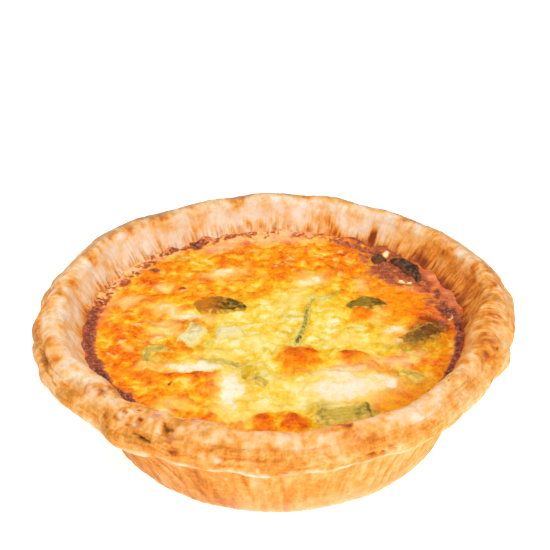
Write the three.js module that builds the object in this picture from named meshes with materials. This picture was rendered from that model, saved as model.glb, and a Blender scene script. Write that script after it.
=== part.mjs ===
// A single-serving round quiche: a deep pastry case with wrinkled flaring sides and a thick
// folded rim, a baked egg filling with browned lumps, and pieces of leek and leaf in its top.
//
// Units are millimetres and +Z is up. The origin is the centre of the flat underside, and the
// front of the quiche is on the -Y side. Angles run anticlockwise from +X, in degrees.

import * as THREE from 'three';

// ---------------------------------------------------------------- driving sizes

const footRadius = 37.8;        // edge of the flat underside
const heelRadius = 43.7;        // where the rounded heel turns into the side
const heelHeight = 4.4;
const wallTopRadius = 51.6;     // top of the flaring side, under the lip
const wallTopHeight = 22.0;
const lipRadius = 57.3;         // thin lower edge of the folded rim
const lipHeight = 24.7;
const rollBelly = 3.25;         // how far the rolled band stands out past lip and groove
const grooveRadius = 57.6;      // crease between the rolled band and the crest
const grooveHeight = 32.2;
const crestHeight = 33.7;       // top of the rim
const innerEdgeRadius = 51.4;   // where the crest turns down into the inner slope
const innerEdgeHeight = 31.8;
const fillingRadius = 46.6;
const fillingEdgeHeight = 25.5;
const fillingDome = 1.7;        // rise of the filling from its edge to its middle
const fillingMeniscus = 0.5;    // the baked edge climbs the pastry by this much
const floorThickness = 4.0;
const floorRadius = 39.5;
const floorCornerRadius = 41.3;
const floorCornerHeight = 5.6;
const caseGap = 0.45;           // clearance between filling and pastry
const bedGap = 0.42;            // clearance between a piece of leek and the filling

const ribCount = 104;           // wrinkles round the side, each one ridge and one valley
const ribDepth = 0.55;
const rimColumns = 144;
const hiddenColumns = 52;
const fillingRings = 22;

// ---------------------------------------------------------------- small tools

const degrees = Math.PI / 180;
const smooth = (low, high, value) => {
  const t = Math.min(1, Math.max(0, (value - low) / (high - low)));
  return t * t * (3 - 2 * t);
};

// Signed difference of two angles in degrees, from -180 to 180.
const turnBetween = (a, b) => ((a - b + 540) % 360) - 180;

// A swelling of the given half width, 1 in its middle and 0 from its ends outwards.
const swell = (distance, halfWidth) => {
  const t = Math.min(1, Math.abs(distance) / halfWidth);
  return (1 - t * t) ** 2;
};

// Repeatable random numbers from 0 to 1.
function seededRandom(seed) {
  let state = seed >>> 0;
  return () => {
    state = (state + 0x6d2b79f5) >>> 0;
    let mixed = Math.imul(state ^ (state >>> 15), state | 1);
    mixed ^= mixed + Math.imul(mixed ^ (mixed >>> 7), mixed | 61);
    return ((mixed ^ (mixed >>> 14)) >>> 0) / 4294967296;
  };
}

// A closed wander round the rim: a sum of cosines of the angle, of the given peak size.
function ringWander(seed, fewestWaves, mostWaves, size) {
  const random = seededRandom(seed);
  const waves = [];
  for (let count = fewestWaves; count <= mostWaves; count += 1) {
    waves.push({ count, phase: 2 * Math.PI * random() });
  }
  const scale = size / Math.sqrt(waves.length);
  return (angle) => waves.reduce(
    (sum, wave) => sum + scale * Math.cos(wave.count * angle * degrees + wave.phase), 0);
}

// A ripple over the plan: sine waves of different lengths, each in its own direction.
function planRipple(seed, waveCount, longest, shortest, size) {
  const random = seededRandom(seed);
  const waves = [];
  for (let index = 0; index < waveCount; index += 1) {
    const length = longest * (shortest / longest) ** (index / (waveCount - 1));
    const heading = Math.PI * random();
    const turns = 2 * Math.PI / length;
    waves.push([turns * Math.cos(heading), turns * Math.sin(heading), 2 * Math.PI * random()]);
  }
  const scale = size / Math.sqrt(waveCount);
  return (x, y) => waves.reduce((sum, [a, b, phase]) => sum + scale * Math.sin(a * x + b * y + phase), 0);
}

// ---------------------------------------------------------------- meshes from rings of points

class SolidBuilder {
  constructor() {
    this.positions = [];
    this.triangles = [];
  }

  point(x, y, z) {
    this.positions.push(x, y, z);
    return this.positions.length / 3 - 1;
  }

  // A ring of points at equal steps of angle; place gives [radius, height] for an angle.
  ring(columns, place) {
    return Array.from({ length: columns }, (_, index) => {
      const angle = 360 * index / columns;
      const [radius, height] = place(angle, index);
      return this.point(radius * Math.cos(angle * degrees), radius * Math.sin(angle * degrees), height);
    });
  }

  // Triangles between two rings, which may have different numbers of points.
  join(lower, upper) {
    let i = 0;
    let j = 0;
    while (i < lower.length || j < upper.length) {
      const stepLower = (i + 1) / lower.length;
      const stepUpper = (j + 1) / upper.length;
      const a = lower[i % lower.length];
      const b = upper[j % upper.length];
      if (j >= upper.length || (i < lower.length && stepLower <= stepUpper)) {
        i += 1;
        this.triangles.push(a, lower[i % lower.length], b);
      } else {
        j += 1;
        this.triangles.push(a, upper[j % upper.length], b);
      }
    }
  }

  // A fan from a centre point out to a ring; facing up or down.
  cap(ring, centre, facingUp) {
    ring.forEach((point, index) => {
      const next = ring[(index + 1) % ring.length];
      this.triangles.push(centre, ...(facingUp ? [point, next] : [next, point]));
    });
  }

  geometry() {
    const geometry = new THREE.BufferGeometry();
    geometry.setAttribute('position', new THREE.Float32BufferAttribute(this.positions, 3));
    geometry.setIndex(this.triangles);
    geometry.computeVertexNormals();
    return geometry;
  }
}

// ---------------------------------------------------------------- unevenness of the rim

// Outward bulges and dents of the whole rim: middle angle, half width, size.
const rimBulges = [
  [9, 18, 0.6], [26, 13, -0.2], [56, 17, -1.5], [93, 16, 0.3], [120, 13, -0.6], [137, 17, 1.3],
  [157, 14, -1.5], [175, 14, -0.7], [192, 14, -0.3], [221, 13, -1.2], [323, 22, -2.1],
  [334.5, 7, -1.2], [344.5, 5, -1.2],
];

// Dips of the crest at the back and its rise at the left front: middle angle, half width, size.
const crestDips = [[40, 38, -0.8], [110, 60, -0.4], [240, 18, 0.3]];

// The side stands a little off the rim's centre, towards +X.
const sideShift = 0.7;

// Rises and falls of the lip.
const lipRises = [
  [232, 12, -0.9], [246, 8, 0.8], [258, 7, 0.7], [268, 8, -0.4], [292, 26, 0.8], [314, 12, 0.4],
];

// A flake that stands out at the right of the rim and ends in a step.
const flakeStart = 347;
const flakeEnd = 336;
const flakeSize = 0.9;

// The crest is folded inwards at the front right and opens out behind the fold.
const foldAngle = 3;
const foldInwards = 1.9;
const foldOutwards = 0.9;

// It also reaches over the filling at the left front: middle angle, half width, size.
const innerSwells = [[240, 19, -2.0]];

const sumOfSwells = (list, angle) => list.reduce(
  (sum, [middle, halfWidth, size]) => sum + size * swell(turnBetween(angle, middle), halfWidth), 0);

const rimWander = ringWander(11, 3, 9, 0.35);
const crestWander = ringWander(23, 7, 26, 0.28);
const rollWander = ringWander(37, 9, 40, 0.3);
const lipWander = ringWander(51, 12, 44, 0.3);
const slopeWander = ringWander(67, 20, 60, 0.22);
const grooveWander = ringWander(71, 4, 15, 0.3);

function rimBulge(angle) {
  const past = turnBetween(flakeStart, angle);
  const flakeSpan = turnBetween(flakeStart, flakeEnd);
  const flake = past > 0 && past < flakeSpan ? flakeSize * smooth(0, 0.7 * flakeSpan, past) : 0;
  return sumOfSwells(rimBulges, angle) + flake + rimWander(angle);
}

// How far the inner edge of the crest moves: in before the fold, out behind it, in at the left front.
function foldShift(angle) {
  const ahead = turnBetween(foldAngle, angle);
  const inwards = smooth(0, 9, ahead) * (1 - smooth(13, 36, ahead));
  const outwards = smooth(0, 6, -ahead) * (1 - smooth(45, 70, -ahead));
  return foldOutwards * outwards - foldInwards * inwards + sumOfSwells(innerSwells, angle);
}

// The groove is deep at the left front, shallow round the front and closed at the back.
function grooveDepth(angle) {
  const front = 0.55 * swell(turnBetween(angle, 265), 75);
  const left = 0.9 * swell(turnBetween(angle, 205), 22);
  const right = 0.6 * swell(turnBetween(angle, 320), 24);
  return Math.max(0, front + left + right + 0.4 * grooveWander(angle) * front);
}

// Slits and pits where the layers of the rolled band have come apart:
// angle, height, half length in degrees, half height, depth.
const slits = [
  [240.7, 30.7, 4.0, 1.2, 1.3],
  [245.3, 32.9, 2.6, 1.1, 1.2],
  [287.0, 26.6, 2.6, 1.0, 0.9],
  [290.8, 26.9, 2.6, 1.0, 1.0],
  [294.4, 27.4, 2.6, 1.0, 0.8],
];

const slitDepth = (angle, height) => slits.reduce((sum, [middle, level, halfTurn, halfHeight, depth]) => (
  sum + depth * swell(turnBetween(angle, middle), halfTurn) * swell(height - level, halfHeight)), 0);

// Torn crumbs of pastry on the left front of the crest.
const crumbRandom = seededRandom(5);
const crumbs = Array.from({ length: 9 }, () => [
  228 + 22 * crumbRandom(), 51.8 + 5.4 * crumbRandom(), 0.35 + 0.4 * crumbRandom()]);
const crumbHeight = (angle, radius) => crumbs.reduce((sum, [middle, level, size]) => (
  sum + size * swell(turnBetween(angle, middle), 2.6) * swell(radius - level, 2.2)), 0);

// ---------------------------------------------------------------- pastry case

const flat = (x, y) => new THREE.Vector2(x, y);

// The profile from the foot to the filling, in sections. Each section is a curve of radius and
// height, the steps it is cut in, and how much of each unevenness its start and end take:
// shift (off centre), rim (bulges), lip (rises), crest (wander and dips), inner (the fold).
const profileSections = [
  {
    name: 'heel', steps: 2, columns: 2 * ribCount,
    curve: new THREE.QuadraticBezierCurve(
      flat(footRadius, 0), flat(footRadius + 4.3, 0), flat(heelRadius, heelHeight)),
    shift: [1, 1], rim: [0, 0], lip: [0, 0], crest: [0, 0], inner: [0, 0],
  },
  {
    name: 'side', steps: 4, columns: 2 * ribCount,
    curve: new THREE.QuadraticBezierCurve(
      flat(heelRadius, heelHeight), flat(heelRadius + 3.4, 13), flat(wallTopRadius, wallTopHeight)),
    shift: [1, 1], rim: [0, 0.45], lip: [0, 0.6], crest: [0, 0], inner: [0, 0],
  },
  {
    name: 'underlip', steps: 2, columns: rimColumns,
    curve: new THREE.QuadraticBezierCurve(
      flat(wallTopRadius, wallTopHeight), flat(wallTopRadius + 0.7, 24.1), flat(lipRadius, lipHeight)),
    shift: [1, 0], rim: [0.45, 1], lip: [0.6, 1], crest: [0, 0], inner: [0, 0],
  },
  {
    name: 'roll', steps: 4, columns: rimColumns,
    curve: new THREE.CubicBezierCurve(
      flat(lipRadius, lipHeight), flat(lipRadius + rollBelly, 26.6),
      flat(grooveRadius + rollBelly, 30.8), flat(grooveRadius, grooveHeight)),
    shift: [0, 0], rim: [1, 1], lip: [1, 0], crest: [0, 1], inner: [0, 0],
  },
  {
    name: 'crest', steps: 5, columns: rimColumns,
    curve: new THREE.CubicBezierCurve(
      flat(grooveRadius, grooveHeight), flat(grooveRadius - 1.2, crestHeight + 0.6),
      flat(innerEdgeRadius + 1.7, crestHeight + 1.2), flat(innerEdgeRadius, innerEdgeHeight)),
    shift: [0, 0], rim: [1, 0.7], lip: [0, 0], crest: [1, 1], inner: [0, 1],
  },
  {
    name: 'slope', steps: 3, columns: rimColumns,
    curve: new THREE.QuadraticBezierCurve(
      flat(innerEdgeRadius, innerEdgeHeight), flat(innerEdgeRadius - 2.2, 28.3),
      flat(fillingRadius + caseGap, fillingEdgeHeight)),
    shift: [0, 0], rim: [0.7, 0], lip: [0, 0], crest: [1, 0], inner: [1, 0],
  },
];

const ribRandom = seededRandom(3);
const ribSizes = Array.from({ length: ribCount }, () => 0.35 + 0.65 * ribRandom());

function ribRelief(column, section, along) {
  if (section.columns !== 2 * ribCount) {
    return 0;
  }
  const rise = section.name === 'heel' ? 0.8 * along : 0.8 + 0.4 * Math.sin(Math.PI * along);
  const side = column % 2 === 0 ? 0.5 : -0.5;
  return side * rise * ribDepth * ribSizes[(column >> 1) % ribCount];
}

// The uneven pastry: radius and height for a place on the profile and an angle.
function pastryPoint(section, along, angle, column) {
  const share = (pair) => pair[0] + (pair[1] - pair[0]) * along;
  const point = section.curve.getPoint(along);
  let radius = point.x;
  let height = point.y;
  radius += share(section.shift) * sideShift * Math.cos(angle * degrees);
  radius += share(section.rim) * rimBulge(angle);
  radius += share(section.inner) * foldShift(angle);
  radius += ribRelief(column, section, along);
  height += share(section.lip) * (sumOfSwells(lipRises, angle) + lipWander(angle));
  height += share(section.crest) * (sumOfSwells(crestDips, angle) + crestWander(angle));
  if (section.name === 'roll') {
    radius += Math.sin(Math.PI * along) * rollWander(angle);
    radius -= slitDepth(angle, height) + 0.6 * smooth(0.6, 1, along) * grooveDepth(angle);
    height -= smooth(0.6, 1, along) * grooveDepth(angle);
  }
  if (section.name === 'crest') {
    height -= (1 - smooth(0, 0.3, along)) * grooveDepth(angle);
    height -= slitDepth(angle, height);
    height += Math.sin(Math.PI * along) * crumbHeight(angle, radius);
  }
  if (section.name === 'slope') {
    radius += Math.sin(Math.PI * along) * slopeWander(angle);
  }
  return [radius, height];
}

function pastryCase() {
  const solid = new SolidBuilder();
  const plainRing = (radius, height, columns = hiddenColumns) => (
    solid.ring(columns, () => [radius, height]));

  const underside = plainRing(0.5 * footRadius, 0, hiddenColumns / 2);
  solid.cap(underside, solid.point(0, 0, 0), false);
  let last = plainRing(footRadius, 0);
  solid.join(underside, last);

  profileSections.forEach((section) => {
    for (let step = 1; step <= section.steps; step += 1) {
      const along = step / section.steps;
      const next = solid.ring(section.columns, (angle, column) => (
        pastryPoint(section, along, angle, column)));
      solid.join(last, next);
      last = next;
    }
  });

  const wallRings = [
    plainRing(fillingRadius + caseGap - 2.2, 17),
    plainRing(floorCornerRadius, floorCornerHeight),
    plainRing(floorRadius, floorThickness),
    plainRing(0.5 * floorRadius, floorThickness, hiddenColumns / 2),
  ];
  wallRings.forEach((next) => {
    solid.join(last, next);
    last = next;
  });
  solid.cap(last, solid.point(0, 0, floorThickness), true);
  return solid.geometry();
}

// ---------------------------------------------------------------- filling

// Browned lumps and pale swellings of the top: x, y, length, width, turn, height.
const fillingLumps = [
  [6, -16, 10, 9, 0, 1.2],
  [18.5, -14.6, 8, 4, -6, 0.9],
  [24, -20, 6, 5, 0, 0.5],
  [-22, -28, 17, 14, 8, 0.7],
  [-21, -22.5, 17, 3.5, -3, 0.8],
  [-16.5, -28, 5, 5, 0, 0.4],
  [-2.8, -39.5, 5.5, 6.5, 20, 0.9],
  [4, -40.3, 6, 5.5, -20, 0.9],
  [27.5, -31.5, 9, 7, 25, 0.6],
  [20, -26, 18, 11, 12, 0.7],
  [34.5, 9, 14, 17, 20, 0.8],
  [22.3, 3, 5.5, 5.5, 0, 0.6],
  [-38, -5.5, 5, 10, 8, 0.6],
  [-31, 12, 9, 6, 0, 0.7],
  [-13, 24, 8, 5, 15, 0.6],
  [-20.5, 17.5, 7, 6, 30, 0.6],
  [18, 27, 11, 7, -10, 0.6],
  [4, 28.5, 9, 6, 10, 0.5],
  [-12, 32, 8, 6, 0, 0.5],
  [32, 25, 12, 14, 0, 0.5],
  [9, 36, 9, 6, 0, 0.5],
  [-33, 22, 6, 8, 0, 0.4],
];

// Hollows between them: x, y, length, width, turn, depth.
const fillingHollows = [
  [-18, -18.5, 16, 5, 8, 0.5],
  [12, -8, 14, 6, -10, 0.4],
  [-26, 4, 12, 6, 20, 0.45],
  [7, 19, 12, 6, 15, 0.4],
  [-11.5, -31, 6, 12, -10, 0.5],
  [28, -12, 9, 6, 20, 0.4],
];

const fillingRipple = planRipple(19, 9, 17, 5.5, 0.3);

function patch([x0, y0, length, width, turn, size], x, y) {
  const c = Math.cos(turn * degrees);
  const s = Math.sin(turn * degrees);
  const u = ((x - x0) * c + (y - y0) * s) / (0.5 * length);
  const v = ((y - y0) * c - (x - x0) * s) / (0.5 * width);
  const apart = 0.8 * (u * u + v * v);
  return size * Math.exp(-(apart ** 1.5));
}

// Height of the filling's top at a place in plan, without the beds of the pieces in it.
function fillingTop(x, y) {
  const share = Math.hypot(x, y) / fillingRadius;
  const inside = 1 - smooth(0.86, 1, share);
  let height = fillingEdgeHeight + fillingDome * (1 - share ** 2.4);
  height += fillingMeniscus * smooth(0.93, 1, share);
  fillingLumps.forEach((lump) => { height += inside * patch(lump, x, y); });
  fillingHollows.forEach((hollow) => { height -= inside * patch(hollow, x, y); });
  return height + inside * fillingRipple(x, y);
}

// ---------------------------------------------------------------- pieces of leek and leaf

// Each piece: middle x and y, length, width, turn of its length, sideways bow, crown height,
// thickness, depth it has sunk in, cells along and across. A leaf is pointed, a slice is blunt.
const toppings = {
  leek_leaf_left: {
    leaf: true, at: [-13.5, 8.4], length: 14.6, width: 8.6, turn: -11, bow: 0.9,
    crown: 0.4, thickness: 0.9, sunk: 0.6, cells: [8, 5], colour: 0x6b6324,
  },
  leek_leaf_right: {
    leaf: true, at: [23.4, 8.8], length: 10.6, width: 6.8, turn: 6, bow: 2.4,
    crown: 0.3, thickness: 0.9, sunk: 0.6, cells: [8, 5], colour: 0x66702a,
  },
  charred_leaf_left: {
    leaf: true, at: [28.4, 30.8], length: 5, width: 4, turn: -35, bow: 0.4,
    crown: 0.4, thickness: 1.2, sunk: 0.3, cells: [6, 4], colour: 0x3a4030,
  },
  charred_leaf_right: {
    leaf: true, at: [35.2, 26.1], length: 13.4, width: 4.8, turn: -59, bow: 1.5,
    crown: 0.5, thickness: 1.2, sunk: 0.3, cells: [8, 5], colour: 0x262b26,
  },
  leek_slice_right: {
    at: [36.6, -5.4], length: 11.5, width: 7.4, turn: 38, bow: -0.6,
    crown: 0.25, thickness: 0.9, sunk: 0.6, cells: [8, 5], colour: 0x7d6a34,
  },
  leek_strip_centre: {
    at: [7.3, -1.2], length: 20, width: 1.7, turn: 79, bow: -0.9,
    crown: 0.25, thickness: 0.6, sunk: 0.4, cells: [12, 2], colour: 0x55602c,
  },
  leek_fold_left: {
    at: [-28.9, -12], length: 8, width: 3.8, turn: 40, bow: 4,
    crown: 0.25, thickness: 0.8, sunk: 0.6, cells: [6, 4], colour: 0x9b9a58,
  },
  leek_shred_front_left: {
    at: [-11, -17.3], length: 7, width: 3.2, turn: -27, bow: 0.3,
    crown: 0.2, thickness: 0.7, sunk: 0.5, cells: [6, 4], colour: 0xaeb38c,
  },
  leek_shred_olive: {
    at: [-6.4, -20.8], length: 5, width: 2.8, turn: -104, bow: 0.3,
    crown: 0.2, thickness: 0.7, sunk: 0.5, cells: [6, 4], colour: 0xa59a2c,
  },
  leek_shred_front: {
    at: [-3.4, -24.6], length: 5.4, width: 2.8, turn: -52, bow: -0.3,
    crown: 0.2, thickness: 0.7, sunk: 0.5, cells: [6, 4], colour: 0x98923a,
  },
  leek_slice_front: {
    at: [16, -37], length: 14, width: 5.6, turn: 13, bow: -0.5,
    crown: 0.3, thickness: 0.9, sunk: 0.6, cells: [8, 5], colour: 0xaeb04a,
  },
  leek_shred_front_right: {
    at: [32.2, -22.4], length: 7, width: 4, turn: -38, bow: 0.3,
    crown: 0.2, thickness: 0.7, sunk: 0.5, cells: [6, 4], colour: 0xc4ad72,
  },
  onion_petal_left: {
    at: [-20.2, -4.2], length: 9.5, width: 6.2, turn: 66, bow: -0.8,
    crown: 0.2, thickness: 0.8, sunk: 0.6, cells: [6, 4], colour: 0xe8dfae,
  },
  onion_petal_centre: {
    at: [-11, -4.2], length: 7.4, width: 5.4, turn: 12, bow: 0.4,
    crown: 0.2, thickness: 0.8, sunk: 0.6, cells: [6, 4], colour: 0xeeeac0,
  },
};

// Outline of a piece: its width at the tips as a share, and the two powers of its taper.
const leafForm = [0.1, 1.7, 0.85];
const sliceForm = [0.45, 4, 0.5];
const edgeShare = 0.45;     // its edge has this share of its thickness
const bedMargin = 1.15;     // its bed reaches this much further than it does

// Plan position of a place on a piece: u along and v across, both from -1 to 1.
function toppingPlan(topping, u, v) {
  const [tip, taper, sharpness] = topping.leaf ? leafForm : sliceForm;
  const halfWidth = 0.5 * topping.width * (tip + (1 - tip) * (1 - Math.abs(u) ** taper) ** sharpness);
  const along = 0.5 * topping.length * u;
  const across = halfWidth * v + topping.bow * (0.5 - u * u);
  const c = Math.cos(topping.turn * degrees);
  const s = Math.sin(topping.turn * degrees);
  return [topping.at[0] + along * c - across * s, topping.at[1] + along * s + across * c];
}

// The filling with a shallow bed under each piece.
function beddedTop(x, y) {
  let height = fillingTop(x, y);
  Object.values(toppings).forEach((topping) => {
    const size = [...topping.at, bedMargin * topping.length, bedMargin * topping.width + 2.5,
      topping.turn, topping.sunk];
    height -= patch(size, x, y);
  });
  return height;
}

function eggFilling() {
  const solid = new SolidBuilder();
  let last = null;
  for (let ringIndex = 1; ringIndex <= fillingRings; ringIndex += 1) {
    const radius = fillingRadius * ringIndex / fillingRings;
    const ring = solid.ring(6 * ringIndex, (angle) => (
      [radius, beddedTop(radius * Math.cos(angle * degrees), radius * Math.sin(angle * degrees))]));
    if (last) {
      solid.join(ring, last);
    } else {
      solid.cap(ring, solid.point(0, 0, beddedTop(0, 0)), true);
    }
    last = ring;
  }
  const bottom = floorThickness + caseGap;
  const sides = [
    [fillingRadius - 2.2, 17, hiddenColumns],
    [floorCornerRadius - caseGap, floorCornerHeight + 0.2, hiddenColumns],
    [floorRadius - caseGap, bottom, hiddenColumns],
    [0.5 * floorRadius, bottom, hiddenColumns / 2],
  ];
  sides.forEach(([radius, height, columns]) => {
    const ring = solid.ring(columns, () => [radius, height]);
    solid.join(ring, last);
    last = ring;
  });
  solid.cap(last, solid.point(0, 0, bottom), false);
  return solid.geometry();
}

// A thin wavy sheet that lies on the filling: both faces are split into triangles alike.
function toppingGeometry(topping, seed) {
  const solid = new SolidBuilder();
  const [cellsAlong, cellsAcross] = topping.cells;
  const wave = planRipple(seed, 4, 6, 3, 0.14);
  const under = [];
  const over = [];
  for (let i = 0; i <= cellsAlong; i += 1) {
    const u = 2 * i / cellsAlong - 1;
    under.push([]);
    over.push([]);
    for (let j = 0; j <= cellsAcross; j += 1) {
      const v = 2 * j / cellsAcross - 1;
      const [x, y] = toppingPlan(topping, u, v);
      const bed = beddedTop(x, y) + bedGap;
      const fullness = (1 - v * v) * (1 - u ** 4);
      const edge = edgeShare * topping.thickness;
      const rise = edge + (topping.thickness - edge) * fullness;
      const lift = topping.crown * fullness + Math.abs(wave(x, y)) * fullness;
      under[i].push(solid.point(x, y, bed + 0.5 * lift));
      over[i].push(solid.point(x, y, bed + rise + lift));
    }
  }
  const quad = (a, b, c, d) => solid.triangles.push(a, b, c, a, c, d);
  for (let i = 0; i < cellsAlong; i += 1) {
    for (let j = 0; j < cellsAcross; j += 1) {
      quad(over[i][j], over[i + 1][j], over[i + 1][j + 1], over[i][j + 1]);
      solid.triangles.push(under[i][j], under[i + 1][j + 1], under[i + 1][j]);
      solid.triangles.push(under[i][j], under[i][j + 1], under[i + 1][j + 1]);
    }
    quad(under[i][0], under[i + 1][0], over[i + 1][0], over[i][0]);
    quad(under[i + 1][cellsAcross], under[i][cellsAcross], over[i][cellsAcross], over[i + 1][cellsAcross]);
  }
  for (let j = 0; j < cellsAcross; j += 1) {
    quad(under[0][j + 1], under[0][j], over[0][j], over[0][j + 1]);
    quad(under[cellsAlong][j], under[cellsAlong][j + 1], over[cellsAlong][j + 1], over[cellsAlong][j]);
  }
  return solid.geometry();
}

// ---------------------------------------------------------------- the quiche

const quiche = new THREE.Group();

function addPiece(name, geometry, colour, roughness) {
  const material = new THREE.MeshStandardMaterial({ color: colour, roughness, metalness: 0 });
  const mesh = new THREE.Mesh(geometry, material);
  mesh.name = name;
  quiche.add(mesh);
}

addPiece('pastry_case', pastryCase(), 0xdca468, 0.6);
addPiece('egg_filling', eggFilling(), 0xf2c04a, 0.45);
Object.entries(toppings).forEach(([name, topping], index) => {
  addPiece(name, toppingGeometry(topping, 101 + index), topping.colour, 0.5);
});

export default quiche;
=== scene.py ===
"""A single-serving round quiche: pastry case with a folded rim, browned egg filling, leek in its top.

Each surface is worked out with numpy as whole arrays, in millimetres, and turned into a mesh in
metres. +Z is up, the front is on the -Y side, and angles run anticlockwise from +X in degrees.
Where the filling and the pastry are light or dark is painted by formula into mesh attributes,
and the materials turn those masks into colour, gloss and fine relief. Numbers from 300 up in the
calls of noise, and of what is made of noise, are seeds.
"""
import math
from types import SimpleNamespace

import bpy
import numpy as np
from mathutils import Matrix, Vector


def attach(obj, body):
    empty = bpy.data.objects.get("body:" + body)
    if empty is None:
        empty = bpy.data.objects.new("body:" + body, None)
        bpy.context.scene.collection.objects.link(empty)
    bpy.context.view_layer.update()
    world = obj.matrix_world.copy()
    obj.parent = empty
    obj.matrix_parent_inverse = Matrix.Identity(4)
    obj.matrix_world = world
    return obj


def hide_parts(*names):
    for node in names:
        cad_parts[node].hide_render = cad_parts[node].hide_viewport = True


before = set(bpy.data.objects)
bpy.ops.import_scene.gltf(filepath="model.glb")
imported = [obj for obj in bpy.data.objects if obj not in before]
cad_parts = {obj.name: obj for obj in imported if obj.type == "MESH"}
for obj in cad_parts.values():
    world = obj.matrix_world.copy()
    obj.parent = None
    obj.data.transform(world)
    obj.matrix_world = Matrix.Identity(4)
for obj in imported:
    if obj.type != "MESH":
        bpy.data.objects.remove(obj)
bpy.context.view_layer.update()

# ------------------------------------------------------------------ driving sizes, in millimetres

MM = 0.001                  # one millimetre in metres

FOOT_RADIUS = 37.8
HEEL_RADIUS = 43.7
HEEL_HEIGHT = 4.4
WALL_TOP_RADIUS = 51.6
WALL_TOP_HEIGHT = 22.0
LIP_RADIUS = 57.3
LIP_HEIGHT = 24.7
ROLL_BELLY = 3.25
GROOVE_RADIUS = 57.6
GROOVE_HEIGHT = 32.2
CREST_HEIGHT = 33.7
INNER_EDGE_RADIUS = 51.4
INNER_EDGE_HEIGHT = 31.8
FILLING_RADIUS = 46.6
FILLING_EDGE_HEIGHT = 25.5
FILLING_DOME = 1.7
FILLING_MENISCUS = 0.5
WAIST_NARROWER = 2.2        # under its edge the filling narrows by this much,
WAIST_HEIGHT = 17           # at this height,
CASE_GAP = 0.45             # and it lies this far clear of the pastry there
FLOOR_THICKNESS = 4.0
FLOOR_RADIUS = 39.5
FLOOR_CORNER_RADIUS = 41.3
FLOOR_CORNER_HEIGHT = 5.6
BED_GAP = 0.42              # a piece of leek is laid this far above its bed in the filling

RIB_COUNT = 104
RIB_DEPTH = 0.62
SIDE_SHIFT = 0.7            # the foot and the side stand this far off the rim's middle, towards +X

RIM_MIDDLE = 55             # patterns of the pastry are laid out on a circle of this radius
SIDE_MIDDLE = 46            # and those of its side on one of this radius

CRUST_COLUMNS = 840
FILLING_CELLS = 300
FILLING_REACH = 48.2        # the filling runs this far out, into the pastry


# ------------------------------------------------------------------ small tools

def smooth(low, high, value):
    """0 below low, 1 above high, and a smooth S between them."""
    t = np.clip((value - low) / (high - low), 0, 1)
    return t * t * (3 - 2 * t)


def turn_between(a, b):
    """Signed difference of two angles in degrees, from -180 to 180."""
    return (a - b + 540) % 360 - 180


def on_circle(angle, radius):
    """x and y of the points at these angles in degrees on a circle of this radius."""
    turn = np.radians(angle)
    return radius * np.cos(turn), radius * np.sin(turn)


def swell(distance, half_width):
    """A swelling, (1 - (distance / half width) squared) squared, and 0 past its ends."""
    t = np.minimum(1, np.abs(distance) / half_width)
    return (1 - t * t) ** 2


def seeded_random(seed):
    """Repeatable random numbers from 0 to 1, by shifts and products of 32-bit whole numbers."""
    full = 0xFFFFFFFF
    state = seed & full

    def draw():
        nonlocal state
        state = (state + 0x6D2B79F5) & full
        mixed = ((state ^ (state >> 15)) * (state | 1)) & full
        stirred = ((mixed ^ (mixed >> 7)) * (mixed | 61)) & full
        mixed ^= (mixed + stirred) & full
        return ((mixed ^ (mixed >> 14)) & full) / 4294967296

    return draw


def ring_wander(angle, seed, fewest, most, size):
    """A closed wander round the rim: cosines of fewest to most times the angle, summed."""
    random = seeded_random(seed)
    total = np.zeros_like(angle)
    for count in range(fewest, most + 1):
        total += np.cos(count * np.radians(angle) + 2 * math.pi * random())
    return total * size / math.sqrt(most - fewest + 1)


def plan_ripple(x, y, seed, waves, longest, shortest, size):
    """Sine waves over the plan, each shorter than the last and in its own direction, summed."""
    random = seeded_random(seed)
    total = np.zeros_like(x)
    for index in range(waves):
        length = longest * (shortest / longest) ** (index / (waves - 1))
        heading = math.pi * random()
        turns = 2 * math.pi / length
        phase = 2 * math.pi * random()
        total += np.sin(turns * (x * math.cos(heading) + y * math.sin(heading)) + phase)
    return total * size / math.sqrt(waves)


def around(angle, *stops):
    """A value round the rim, on straight lines between stops of (angle, value), in rising order."""
    places = [stop[0] for stop in stops]
    values = [stop[1] for stop in stops]
    return np.interp(angle, places, values, period=360)


def lattice_hash(ix, iy, iz, seed):
    """A scrambled 32-bit whole number for each point of a whole-number lattice."""
    n = (ix * 73856093) ^ (iy * 19349663) ^ (iz * 83492791) ^ (seed * 2654435761)
    n = n & 0xFFFFFFFF
    n = ((n ^ (n >> 13)) * 1274126177) & 0xFFFFFFFF
    return n ^ (n >> 16)


def noise(x, y, z, seed):
    """Gradient noise, about -1 to 1: slopes at the lattice's corners, blended by a quintic."""
    x, y, z = np.broadcast_arrays(x, y, z)
    cells = [np.floor(a).astype(np.int64) for a in (x, y, z)]
    parts = [a - cell for a, cell in zip((x, y, z), cells)]
    eased = [t * t * t * (t * (t * 6 - 15) + 10) for t in parts]
    total = np.zeros(x.shape)
    for corner in range(8):
        steps = [corner & 1, (corner >> 1) & 1, corner >> 2]
        mixed = lattice_hash(*[cell + step for cell, step in zip(cells, steps)], seed)
        share = np.ones(x.shape)
        slope = np.zeros(x.shape)
        for axis in range(3):
            weight = eased[axis] if steps[axis] else 1 - eased[axis]
            share = share * weight
            gradient = ((mixed >> (10 * axis)) & 1023) / 511.5 - 1
            slope = slope + gradient * (parts[axis] - steps[axis])
        total += share * slope
    return 1.6 * total


def fractal(x, y, z, size, octaves, seed, keep=0.5):
    """Noise of the given size plus ever finer noise, each octave keep times as strong."""
    total = np.zeros(np.broadcast(x, y, z).shape)
    strength = 1.0
    for octave in range(octaves):
        scale = 2 ** octave / size
        total += strength * noise(x * scale, y * scale, z * scale, seed + 31 * octave)
        strength *= keep
    return total


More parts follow.
